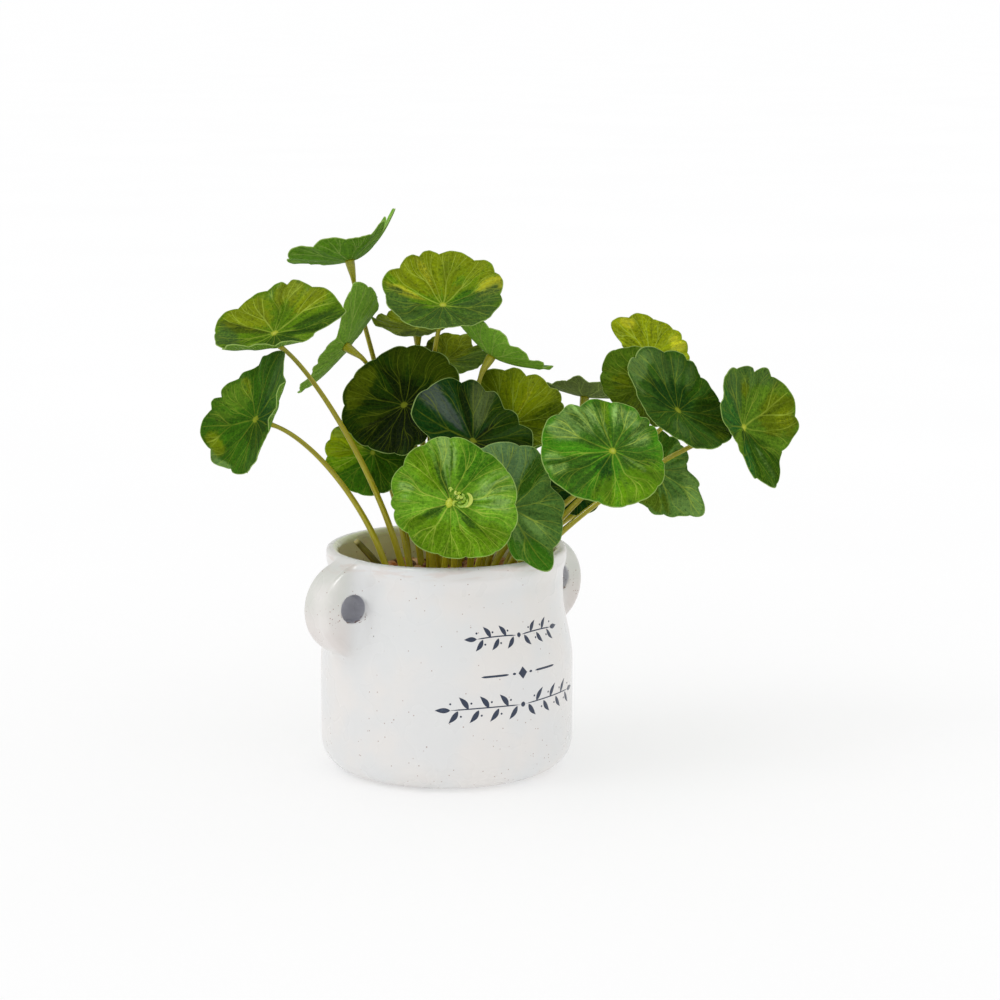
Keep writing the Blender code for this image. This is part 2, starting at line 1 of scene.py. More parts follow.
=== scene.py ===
"""How a potted asiatic pennywort looks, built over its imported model.

Sizes are in millimetres and become metres where a mesh is made. The origin is the middle of the crock's
base, +Z is up and the crock's front faces -Y. The plant is laid out in a frame of its own, turned in the
crock: there x runs to the right, y away and z up from the same origin.
"""

import math
from dataclasses import dataclass

import bmesh
import bpy
import numpy as np
from mathutils import Matrix


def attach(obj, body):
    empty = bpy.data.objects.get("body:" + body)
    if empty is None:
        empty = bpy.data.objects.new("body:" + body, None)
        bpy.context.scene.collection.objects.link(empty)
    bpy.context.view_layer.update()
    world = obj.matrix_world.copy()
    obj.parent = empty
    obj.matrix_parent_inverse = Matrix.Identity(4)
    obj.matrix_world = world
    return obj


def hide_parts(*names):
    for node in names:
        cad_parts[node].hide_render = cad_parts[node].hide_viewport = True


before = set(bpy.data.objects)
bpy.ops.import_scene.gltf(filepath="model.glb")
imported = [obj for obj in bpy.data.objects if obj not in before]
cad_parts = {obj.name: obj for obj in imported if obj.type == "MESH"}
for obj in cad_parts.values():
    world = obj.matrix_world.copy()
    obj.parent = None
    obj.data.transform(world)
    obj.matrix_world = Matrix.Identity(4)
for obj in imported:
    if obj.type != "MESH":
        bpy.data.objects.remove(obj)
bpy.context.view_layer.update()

# The crock: white-glazed stoneware, turned and hollowed in one piece with two thick round ears, each
# pierced next to the wall. The clay's iron shows as specks through the glaze, and its foot is wiped bare.

MM = 0.001
TAU = 2 * math.pi
POT_HEIGHT = 98.0
FOOT_R = 42.5
FOOT_ROUND = 13.0
BODY_R = 55.5
SHOULDER_Z = 47.0
NECK_R = 51.2
NECK_Z = 78.0
LIP_START_Z = 86.0
LIP_FULL_Z = 93.5
LIP_R = 52.6
LIP_ROUND = 1.8
FLOOR = 5.0
INNER_R = 51.2
INNER_ROUND = 9.0
INNER_SHOULDER_Z = 54.0
INNER_NECK_Z = 74.0
INNER_NECK_R = 47.2
MOUTH_EASE_OUT = 4.3
MOUTH_EASE_DOWN = 3.4
MOUTH_EASE_Z = 3.0
EAR_CENTRE = (49.5, 76.0)
EAR_R = 20.5
EAR_THICK = 18.0
EAR_EDGE = 3.0
EAR_FILLET = 4.5
EAR_HOLE = (55.4, 78.0)
EAR_HOLE_R = 6.0
HOLE_SOFT = 0.7
MOUTH_SOFT = 0.6
CROCK_STEP = 1.25
CROCK_BOX = ((-72.3, -57.2, -1.9), (72.3, 57.2, 100.0))
NUDGE = 0.02


def smooth_step(share):
    """0 below 0, 1 above 1, and 3 s^2 - 2 s^3 between."""
    share = np.clip(share, 0, 1)
    return share * share * (3 - 2 * share)


def arc(middle, radius, start, end, steps):
    """Points middle + radius (cos a, sin a) for evenly spaced angles a in degrees."""
    a = np.radians(np.linspace(start, end, steps))
    return np.stack([middle[0] + radius[0] * np.cos(a), middle[1] + radius[1] * np.sin(a)], axis=1)


def wall_radius(height):
    """Outer radius of the crock above its foot: the body eases into the neck by a smooth step of height."""
    share = (height - SHOULDER_Z) / (NECK_Z - SHOULDER_Z)
    return BODY_R + (NECK_R - BODY_R) * smooth_step(share)


def outer_section():
    """The outside as radius and height: foot arc, body, shoulder, neck, and a swollen lip that rolls over."""
    foot = arc((FOOT_R, FOOT_ROUND), (FOOT_ROUND, FOOT_ROUND), -90, 0, 14)
    height = np.concatenate([np.linspace(SHOULDER_Z, NECK_Z, 16), np.linspace(LIP_START_Z, LIP_FULL_Z, 8)])
    swell = (LIP_R - NECK_R) * smooth_step((height - LIP_START_Z) / (LIP_FULL_Z - LIP_START_Z))
    lip = arc((LIP_R - LIP_ROUND, POT_HEIGHT - LIP_ROUND), (LIP_ROUND, LIP_ROUND), 0, 90, 8)
    return np.concatenate([foot, np.stack([wall_radius(height) + swell, height], axis=1), lip])


def inner_section():
    """The inside as radius and height: rounded floor, wall, shoulder, neck and the ease of the mouth."""
    floor = arc((INNER_R - INNER_ROUND, FLOOR + INNER_ROUND), (INNER_ROUND, INNER_ROUND), -90, 0, 9)
    height = np.linspace(INNER_SHOULDER_Z, INNER_NECK_Z, 10)
    share = (height - INNER_SHOULDER_Z) / (INNER_NECK_Z - INNER_SHOULDER_Z)
    wall = np.stack([INNER_R + (INNER_NECK_R - INNER_R) * smooth_step(share), height], axis=1)
    mouth_r = INNER_NECK_R + MOUTH_EASE_OUT
    ease = arc((mouth_r, POT_HEIGHT - MOUTH_EASE_Z), (MOUTH_EASE_OUT, MOUTH_EASE_DOWN), 180, 90, 9)
    return np.concatenate([floor, wall, ease, [(mouth_r, POT_HEIGHT + MOUTH_EASE_Z)]])


def distance_to_turned(reach, height, section):
    """Signed distance to a solid turned about Z, below 0 inside.

    The distance to each stretch a to b of the section is |p - a - t (b - a)|, with t the share of the way
    along it, held between 0 and 1; a point is inside where its radius is below the section's at its height.
    """
    line = np.concatenate([[(0, section[0, 1])], section, [(0, section[-1, 1])]])
    nearest = np.full(reach.shape, np.inf)
    for start, end in zip(line[:-1], line[1:]):
        along = end - start
        across, up = reach - start[0], height - start[1]
        t = np.clip((across * along[0] + up * along[1]) / (along @ along), 0, 1)
        nearest = np.minimum(nearest, (across - t * along[0]) ** 2 + (up - t * along[1]) ** 2)
    edge = np.interp(height, section[:, 1], section[:, 0], left=0, right=0)
    return np.where(reach < edge, -1, 1) * np.sqrt(nearest)


def soft_least(first, second, blend):
    """The smaller of two distances, less blend / 4 where they are equal, fading to nothing at blend apart."""
    near = np.clip(blend - np.abs(first - second), 0, None) / blend
    return np.minimum(first, second) - near * near * blend / 4


def crock_field(points, outer=outer_section(), inner=inner_section()):
    """Signed distance to the crock: a turned body softly joined with its ears, less hollow and holes."""
    x, y, z = np.moveaxis(points, -1, 0)
    reach = np.hypot(x, y)
    rim = np.hypot(np.abs(x) - EAR_CENTRE[0], z - EAR_CENTRE[1]) - EAR_R + EAR_EDGE
    face = np.abs(y) - EAR_THICK / 2 + EAR_EDGE
    past_edge = np.hypot(np.clip(rim, 0, None), np.clip(face, 0, None))
    ear = past_edge + np.minimum(np.maximum(rim, face), 0) - EAR_EDGE
    solid = soft_least(distance_to_turned(reach, z, outer), ear, EAR_FILLET)
    solid = -soft_least(-solid, distance_to_turned(reach, z, inner), MOUTH_SOFT)
    hole = np.hypot(np.abs(x) - EAR_HOLE[0], z - EAR_HOLE[1]) - EAR_HOLE_R
    return -soft_least(-solid, hole, HOLE_SOFT)


def surface_net(field, low, high, step):
    """Points, normals and quads of the surface where a field of signed distance is 0.

    The field is sampled on a cubic grid. Each cell that the surface passes through gets one point, the mean
    of the zeros on its edges, and each grid edge with a zero gets a quad between its four cells. Each point
    then slides three times along the field's slope g to p - f g / g^2.
    """
    axes = [np.arange(a, b + step, step) for a, b in zip(low, high)]
    value = field(np.stack(np.meshgrid(*axes, indexing="ij"), axis=-1))
    shape = np.array(value.shape)
    cells = shape - 1
    total = np.zeros((cells.prod(), 3))
    count = np.zeros(cells.prod())
    quads = []
    for axis in range(3):
        b, c = (axis + 1) % 3, (axis + 2) % 3
        here = np.moveaxis(value, axis, 0)[:-1]
        there = np.moveaxis(value, axis, 0)[1:]
        cut = np.argwhere((here < 0) != (there < 0))
        start, end = here[tuple(cut.T)], there[tuple(cut.T)]
        order = np.argsort([axis] + [k for k in range(3) if k != axis])
        place = cut[:, order].astype(float)
        node = cut[:, order]
        place[:, axis] += start / (start - end)
        ring = []
        for shift_b, shift_c in ((1, 1), (0, 1), (0, 0), (1, 0)):
            cell = node.copy()
            cell[:, b] -= shift_b
            cell[:, c] -= shift_c
            ring.append(np.ravel_multi_index(cell.T, cells))
            np.add.at(total, ring[-1], place)
            np.add.at(count, ring[-1], 1)
        ring = np.stack(ring, axis=1)
        quads.append(np.where((start < 0)[:, None], ring, ring[:, ::-1]))
    used = np.nonzero(count)[0]
    number = np.zeros(len(count), int)
    number[used] = np.arange(len(used))
    points = total[used] / count[used, None] * step + low
    nudge = np.eye(3) * NUDGE

    def slope(at):
        return np.stack([(field(at + d) - field(at - d)) / (2 * NUDGE) for d in nudge], axis=-1)

    for _ in range(3):
        g = slope(points)
        points = points - g * (field(points) / (g * g).sum(axis=-1))[:, None]
    g = slope(points)
    return points, g / np.linalg.norm(g, axis=1)[:, None], number[np.concatenate(quads)]


def piece(name, points, faces, finish, nodes=(), maps=None, tints=None, normals=None):
    """A smooth mesh in the shared frame from points in millimetres and arrays of equal-sided faces.

    maps holds a pair of numbers for each corner of each face, tints a colour or a number for each point.
    """
    mesh = bpy.data.meshes.new(name)
    corners = np.concatenate([f.ravel() for f in faces]).astype(np.int32)
    sizes = np.concatenate([np.full(len(f), f.shape[1]) for f in faces])
    mesh.vertices.add(len(points))
    mesh.vertices.foreach_set("co", (points * MM).astype(np.float32).ravel())
    mesh.loops.add(len(corners))
    mesh.loops.foreach_set("vertex_index", corners)
    mesh.polygons.add(len(sizes))
    mesh.polygons.foreach_set("loop_start", (np.cumsum(sizes) - sizes).astype(np.int32))
    mesh.update(calc_edges=True)
    for label, pairs in (maps or {}).items():
        mesh.uv_layers.new(name=label).data.foreach_set("uv", pairs.astype(np.float32).ravel())
    for label, values in (tints or {}).items():
        kind, field = ("FLOAT", "value") if values.ndim == 1 else ("FLOAT_COLOR", "color")
        mesh.attributes.new(label, kind, "POINT").data.foreach_set(field, values.astype(np.float32).ravel())
    mesh.shade_smooth()
    if normals is not None:
        mesh.normals_split_custom_set_from_vertices(normals.tolist())
    mesh.materials.append(finish)
    made = bpy.data.objects.new(name, mesh)
    bpy.context.scene.collection.objects.link(made)
    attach(made, "root")
    if nodes:
        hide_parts(*nodes)
    return made


def shade(red, green, blue):
    """A colour by its 0 to 255 values on a screen, as the linear values that a shader takes."""
    value = np.array([red, green, blue]) / 255
    linear = np.where(value <= 0.04045, value / 12.92, ((value + 0.055) / 1.055) ** 2.4)
    return (*linear, 1.0)


def arithmetic(operation):
    """A method that adds the Math node of this operation for a wire and what comes with it."""
    return lambda wire, *others: wire.math(operation, wire, *others)


class Wire:
    """An output of a node. Arithmetic on it adds Math nodes; over takes the larger of two."""

    __add__ = __radd__ = arithmetic("ADD")
    __mul__ = __rmul__ = arithmetic("MULTIPLY")
    __sub__ = arithmetic("SUBTRACT")
    __truediv__ = arithmetic("DIVIDE")
    __pow__ = arithmetic("POWER")
    __abs__ = arithmetic("ABSOLUTE")
    fraction = arithmetic("FRACT")
    over = arithmetic("MAXIMUM")

    def __init__(self, finish, socket):
        self.finish = finish
        self.socket = socket

    def __rsub__(self, other):
        return self.math("SUBTRACT", other, self)

    def math(self, operation, *values):
        return self.finish.node("ShaderNodeMath", {"operation": operation}, dict(enumerate(values)))


class Finish:
    """A material round one Principled BSDF, with constants on its own sockets. Places in it are in metres."""

    def __init__(self, name, constants):
        self.material = bpy.data.materials.new(name)
        self.material.use_nodes = True
        self.tree = self.material.node_tree
        self.shader = self.tree.nodes["Principled BSDF"]
        for socket, value in constants.items():
            self.shader.inputs[socket].default_value = value

    def node(self, kind, settings, sockets, output=0):
        """Adds a node with these settings, fills or links its sockets, and returns one of its outputs."""
        made = self.tree.nodes.new(kind)
        for name, value in settings.items():
            setattr(made, name, value)
        for key, value in sockets.items():
            if isinstance(value, Wire):
                self.tree.links.new(value.socket, made.inputs[key])
            else:
                made.inputs[key].default_value = value
        return Wire(self, made.outputs[output])

    def feed(self, socket, wire):
        self.tree.links.new(wire.socket, self.shader.inputs[socket])

    def place(self):
        return self.node("ShaderNodeTexCoord", {}, {}, "Object")

    def chart(self, label):
        """A UV map of the mesh."""
        return self.node("ShaderNodeUVMap", {"uv_map": label}, {})

    def attribute(self, label, output=0):
        """An attribute of the mesh's points: its colour, or its number as output 2."""
        return self.node("ShaderNodeAttribute", {"attribute_name": label}, {}, output)

    def split(self, vector):
        made = self.node("ShaderNodeSeparateXYZ", {}, {0: vector})
        return [Wire(self, output) for output in made.socket.node.outputs]

    def step(self, value, low, high):
        """0 at low, 1 at high, with a smooth step between; low may be the larger."""
        settings = {"interpolation_type": "SMOOTHSTEP"}
        return self.node("ShaderNodeMapRange", settings, {0: value, 1: low, 2: high})

    def mix(self, mask, first, second):
        return self.node("ShaderNodeMix", {"data_type": "RGBA"}, {0: mask, 6: first, 7: second}, 2)

    def layers(self, colour, *coats):
        """Lays coats over a colour, each given by how much of it covers, from 0 to 1, and its tone."""
        for cover, tone in coats:
            colour = self.mix(cover, colour, tone)
        return colour

    def noise(self, where, scale, detail=2.0, roughness=0.5, output=0):
        sockets = {"Vector": where, "Scale": scale, "Detail": detail, "Roughness": roughness}
        return self.node("ShaderNodeTexNoise", {}, sockets, output)

    def cells(self, where, scale, feature="F1", output=0):
        sockets = {"Vector": where, "Scale": scale}
        return self.node("ShaderNodeTexVoronoi", {"feature": feature}, sockets, output)

    def stretch(self, where, scale):
        return self.node("ShaderNodeVectorMath", {"operation": "MULTIPLY"}, {0: where, 1: scale})

    def relief(self, height, distance, strength=1.0):
        """Feeds a bump of this height, in units of distance, to the shader."""
        sockets = {"Height": height, "Distance": distance, "Strength": strength}
        self.feed("Normal", self.node("ShaderNodeBump", {}, sockets))


GLAZE_WARM = shade(232, 229, 226)
GLAZE_COOL = shade(227, 228, 228)
GLAZE_GREEN_SHADE = shade(196, 200, 186)
GLAZE_LEAF_REFLECTION = shade(243, 246, 206)
GLAZE_PINK = shade(218, 205, 198)
BORE_SHADE_DARK = shade(158, 159, 168)
BORE_SHADE_LIT = shade(226, 226, 230)
RUST = shade(112, 74, 58)
IRON_SPECK = shade(150, 112, 98)
DARK_SPECK = shade(58, 50, 46)
BARE_CLAY = shade(205, 188, 164)
# Where the glaze's colour, or the painted light and shade on it, changes, in metres out from the axis, above
# the base or from the middle of a hole. Each pair says where a change starts and where it is done.
INNER_WALL = (0.0502, 0.0490)
INNER_TOP = (0.060, 0.070)
EAR_OUT = (0.0535, 0.0640)
EAR_UP = (0.066, 0.086)
BORE_WALL = (0.0066, 0.0060)
BORE_END = (0.0092, 0.0084)
CHIP_UNDER = (0.0768, 0.0742)
CHIP_WITHIN = (0.0070, 0.0066)
CHIP_BEYOND = (0.0057, 0.0061)
CHIP_END = (0.0074, 0.0080)
LIP_FROM = (0.0915, 0.0955)
LIP_TO = (0.0985, 0.0965)
EAR_RIM = (0.0640, 0.0745)
EAR_RIM_NEAR = (0.0095, 0.0030)
FOOT_UNDER = (0.0012, 0.0004)
FOOT_WITHIN = (0.0415, 0.0405)


def crock_glaze():
    """Near-white glaze: cloudy warm and cool greys, pink on the ears and lip, and painted light and shade.

    Inside, a pale yellow-green is a painted reflection of the leaves, and the ears' tops carry grey-green
    painted shade under the lip. The ears' bores carry painted shade, with rusty chips below, and specks of
    three sizes crowd on the ears' rims.
    """
    glaze = Finish("white_glaze", {"Coat Roughness": 0.22, "Coat Weight": 0.18, "Specular IOR Level": 0.35})
    place = glaze.place()
    x, y, z = glaze.split(place)
    reach = (x * x + y * y) ** 0.5
    cloud = glaze.noise(place, 38.0, 3.0)
    colour = glaze.mix(glaze.step(cloud, 0.35, 0.65), GLAZE_WARM, GLAZE_COOL)
    # Painted reflection: inside the mouth, a pale yellow-green stands for light thrown back by the leaves.
    inside = glaze.step(reach, *INNER_WALL) * glaze.step(z, *INNER_TOP)
    colour = glaze.mix(inside * 0.9, colour, GLAZE_LEAF_REFLECTION)
    # On the ears, the pink lower down is the glaze's own tint; the grey-green higher up, where the ears' tops
    # run under the lip, is painted shade.
    ear = glaze.step(reach, *EAR_OUT)
    tint = glaze.mix(glaze.step(z, *EAR_UP), GLAZE_PINK, GLAZE_GREEN_SHADE)
    colour = glaze.mix(ear * glaze.step(cloud, 0.25, 0.65) * 0.6, colour, tint)
    # Painted shade in the ears' bores: darker towards the wall, paler towards their outer ends.
    from_hole = ((abs(x) - EAR_HOLE[0] * MM) ** 2 + (z - EAR_HOLE[1] * MM) ** 2) ** 0.5
    bore_shade = glaze.step(from_hole, *BORE_WALL) * glaze.step(abs(y), *BORE_END)
    lit = glaze.step(abs(x), EAR_HOLE[0] * MM - 0.002, (EAR_HOLE[0] + EAR_HOLE_R) * MM)
    colour = glaze.mix(bore_shade, colour, glaze.mix(lit, BORE_SHADE_DARK, BORE_SHADE_LIT))
    chip = glaze.step(glaze.noise(place, 520.0, 4.0, 0.7), 0.54, 0.60) * glaze.step(z, *CHIP_UNDER)
    chip = chip * glaze.step(from_hole, *CHIP_WITHIN) * glaze.step(from_hole, *CHIP_BEYOND)
    colour = glaze.mix(chip * glaze.step(abs(y), *CHIP_END), colour, RUST)
    lip = glaze.step(z, *LIP_FROM) * glaze.step(z, *LIP_TO)
    streak = glaze.noise(glaze.stretch(place, (90.0, 90.0, 500.0)), 1.0, 3.0)
    colour = glaze.mix(lip * glaze.step(streak, 0.46, 0.62) * 0.55, colour, GLAZE_PINK)
    from_rim = ((abs(x) - EAR_RIM[0]) ** 2 + (z - EAR_RIM[1]) ** 2) ** 0.5
    crowd = glaze.step(z, 0.060, 0.010) * 0.08 + glaze.step(from_rim, *EAR_RIM_NEAR) * 0.42
    specks = [
        (230.0, 0.84, 0.095, IRON_SPECK),
        (700.0, 0.955, 0.24, IRON_SPECK),
        (120.0, 0.91, 0.055, DARK_SPECK),
    ]
    for scale, share, size, tone in specks:
        where = glaze.cells(place, scale)
        chance, _, _ = glaze.split(glaze.cells(place, scale, output=1))
        speck = glaze.step(where, size, size * 0.5) * glaze.step(chance + crowd, share, share + 0.02)
        colour = glaze.mix(speck * 0.75, colour, tone)
    foot = glaze.step(z, *FOOT_UNDER) * glaze.step(reach, *FOOT_WITHIN)
    grain = glaze.noise(place, 900.0, 4.0)
    colour = glaze.mix(foot, colour, glaze.mix(grain, BARE_CLAY, GLAZE_PINK))
    glaze.feed("Base Color", colour)
    waves = glaze.noise(place, 55.0, 2.0)
    glaze.feed("Roughness", waves * 0.12 + 0.22 + foot * 0.5)
    glaze.relief(waves + foot * grain * 0.3, 0.0006, 0.35)
    return glaze.material


crock_points, crock_normals, crock_quads = surface_net(crock_field, *CROCK_BOX, CROCK_STEP)
piece("crock", crock_points, [crock_quads], crock_glaze(), ["pot"], normals=crock_normals)

# The painted sprigs: three rows of plain brushwork on the crock's front, dark blue, dabbed over the glaze and
# fired on, so that they stand out from it by a hair.

PAINT_OUT = 0.09
PAINT_SINK = 0.25
PAINT_STEPS = 18
PAINT_SIDES = 12
TOP_ROW_Z = 67.2
MIDDLE_ROW_Z = 51.2
LOW_ROW_Z = 37.4
BERRY = 0.9
NAVY = shade(26, 42, 68)
WORN_NAVY = shade(62, 78, 100)


def loft(rings):
    """Quads and end fans between rings of points that close round, and the points with both end middles."""
    rows, columns = rings.shape[:2]
    middles = rings[[0, -1]].mean(axis=1)
    points = np.concatenate([rings.reshape(-1, 3), middles])
    row, k = np.meshgrid(np.arange(rows - 1), np.arange(columns), indexing="ij")
    a, b = row * columns + k, row * columns + (k + 1) % columns
    quads = np.stack([a, b, b + columns, a + columns], axis=-1).reshape(-1, 4)
    k = np.arange(columns)
    first = np.stack([(k + 1) % columns, k, np.full(columns, rows * columns)], axis=1)
    last = (rows - 1) * columns
    final = np.stack([last + k, last + (k + 1) % columns, np.full(columns, rows * columns + 1)], axis=1)
    return points, quads, np.concatenate([first, final])


def join(parts):
    """Several (points, quads, triangles) as one."""
    start = np.cumsum([0] + [len(part[0]) for part in parts])
    points = np.concatenate([part[0] for part in parts])
    return points, *(np.concatenate([part[k] + s for part, s in zip(parts, start)]) for k in (1, 2))


def brush_stroke(start, end, width, bend, form):
    """One dab of paint on the wall, from (along, height) to (along, height), with pointed or round ends.

    Its half width is width / 2 times sin(pi s^0.8) for a leaf, a flat-topped curve for a line, a half circle
    for a dot and two straight slopes for a lozenge, with s the share of the way; bend bows it to its left.
    Its section is a thin lens.
    """
    s = np.linspace(0, 1, PAINT_STEPS)
    forms = {
        "leaf": np.sin(np.pi * s**0.8),
        "line": np.clip(np.sin(np.pi * s), 0, 0.3) / 0.3,
        "dot": np.sqrt(np.clip(1 - (2 * s - 1) ** 2, 0, 1)),
        "lozenge": 1 - np.abs(2 * s - 1),
    }
    half = (width / 2 * np.clip(forms[form], 0.01, 1))[:, None]
    start, end = np.array(start, float), np.array(end, float)
    along = (end - start) / np.linalg.norm(end - start)
    left = np.array([-along[1], along[0]])
    middle = start + (end - start) * s[:, None] + 4 * bend * (s * (1 - s))[:, None] * left
    turn = np.arange(PAINT_SIDES) * TAU / PAINT_SIDES
    flat = middle[:, None] + half[..., None] * np.cos(turn)[:, None] * left
    rise = np.sin(turn) * np.where(np.sin(turn) > 0, PAINT_OUT, PAINT_SINK)
    radius = wall_radius(flat[..., 1]) + rise
    angle = flat[..., 0] / BODY_R
    return loft(np.stack([radius * np.sin(angle), -radius * np.cos(angle), flat[..., 1]], axis=-1)[:, ::-1])


def level_stroke(start, end, height, width, form):
    """A straight stroke at one height, as brush_stroke takes it."""
    return (start, height), (end, height), width, 0.0, form


def mirrored(strokes):
    """The strokes and the same ones on the other side of the front's middle."""
    other = [
        ((-start[0], start[1]), (-end[0], end[1]), width, -bend, form)
        for start, end, width, bend, form in strokes
    ]
    return list(strokes) + other


def sprig_row(middle, reach, leaves, length, width):
    """The right half of a row: a stem with leaves above and below it by turns and at its tip, and berries."""
    strokes = [((1.6, middle), (reach - length, middle), 0.55, 0.5, "line")]
    for k, along in enumerate(np.linspace(3.0, reach - 1.5 * length, leaves)):
        side = 1 if k % 2 else -1
        tip = (along + 0.62 * length, middle + side * 0.86 * length)
        strokes.append(((along, middle + side * 0.35), tip, width, side * 0.35, "leaf"))
        berry = (along + 0.5 * length, middle - side * 0.42 * length)
        strokes.append(level_stroke(berry[0] - BERRY / 2, berry[0] + BERRY / 2, berry[1], BERRY, "dot"))
    strokes.append(level_stroke(reach - length, reach, middle, width, "leaf"))
    return strokes


middle_row = [
    level_stroke(7.0, 20.0, MIDDLE_ROW_Z, 0.9, "line"),
    level_stroke(3.6, 5.2, MIDDLE_ROW_Z, 1.0, "dot"),
]
painted = [
    *mirrored(sprig_row(TOP_ROW_Z, 27.0, 5, 5.8, 2.1)),
    level_stroke(-1.0, 1.0, TOP_ROW_Z, 2.0, "dot"),
    *mirrored(middle_row),
    level_stroke(-2.3, 2.3, MIDDLE_ROW_Z, 5.4, "lozenge"),
    *mirrored(sprig_row(LOW_ROW_Z, 40.0, 7, 6.6, 2.3)),
    level_stroke(-1.1, 1.1, LOW_ROW_Z, 2.2, "dot"),
]


def brush_paint():
    """Dark blue brushwork, thinner and greyer in patches."""
    paint = Finish("sprig_paint", {"Coat Weight": 0.2, "Coat Roughness": 0.15})
    place = paint.place()
    worn = paint.step(paint.noise(place, 420.0, 4.0, 0.65), 0.52, 0.78)
    paint.feed("Base Color", paint.mix(worn * 0.7, NAVY, WORN_NAVY))
    paint.feed("Roughness", worn * 0.2 + 0.3)
    paint.relief(paint.noise(place, 1500.0, 2.0), 0.0001, 0.4)
    return paint.material


stroke_points, stroke_quads, stroke_ends = join([brush_stroke(*stroke) for stroke in painted])
piece("painted_sprigs", stroke_points, [stroke_quads, stroke_ends], brush_paint())

# The soil: damp dark potting mix that fills the crock under the pebbles. It keeps its own solid.


def potting_soil():
    """Nearly black brown crumbs with paler bits."""
    soil = Finish("potting_soil", {"Specular IOR Level": 0.2})
    place = soil.place()
    crumb = soil.noise(place, 420.0, 6.0, 0.7)
    bits = soil.step(soil.cells(place, 520.0), 0.28, 0.12)
    colour = soil.mix(soil.step(crumb, 0.35, 0.7), shade(38, 27, 20), shade(84, 62, 44))
    soil.feed("Base Color", soil.mix(bits * 0.35, colour, shade(122, 98, 70)))
    soil.feed("Roughness", crumb * 0.2 + 0.75)
    soil.relief(crumb + bits * 0.4, 0.0015, 0.8)
    return soil.material


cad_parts["soil"].data.materials.clear()
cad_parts["soil"].data.materials.append(potting_soil())

# The leaves of the plant, in the order of the model's nodes. Each is one blade on one stalk.

PLANT_TURN = math.radians(-37)
GRAVEL_Z = 85.0


@dataclass
class Leaf:
    """One blade with its stalk.

    at, radius: the blade's middle and its radius. tilt, facing: degrees from level, and the direction that
    the upper face leans towards (0 is towards -y). cup lifts the whole edge; curl lifts the side at
    curl_at. rim gives the edge where it isn't plainly round: percents of the radius, sixteen even ways
    round from the side axis, fitted to the outline that shows in the photo. root is where the stalk leaves
    the pebbles; lean, neck and sway shape the stalk's curve; foot is its radius there.
    """

    at: tuple
    radius: float
    tilt: float
    facing: float
    root: tuple
    lobes: int = 12
    cup: float = 4
    curl: float = 0
    curl_at: float = -90
    lean: float = 0.5
    neck: float = 0.22
    sway: tuple = (0, 0)
    foot: float = 1.7
    rim: tuple = ()


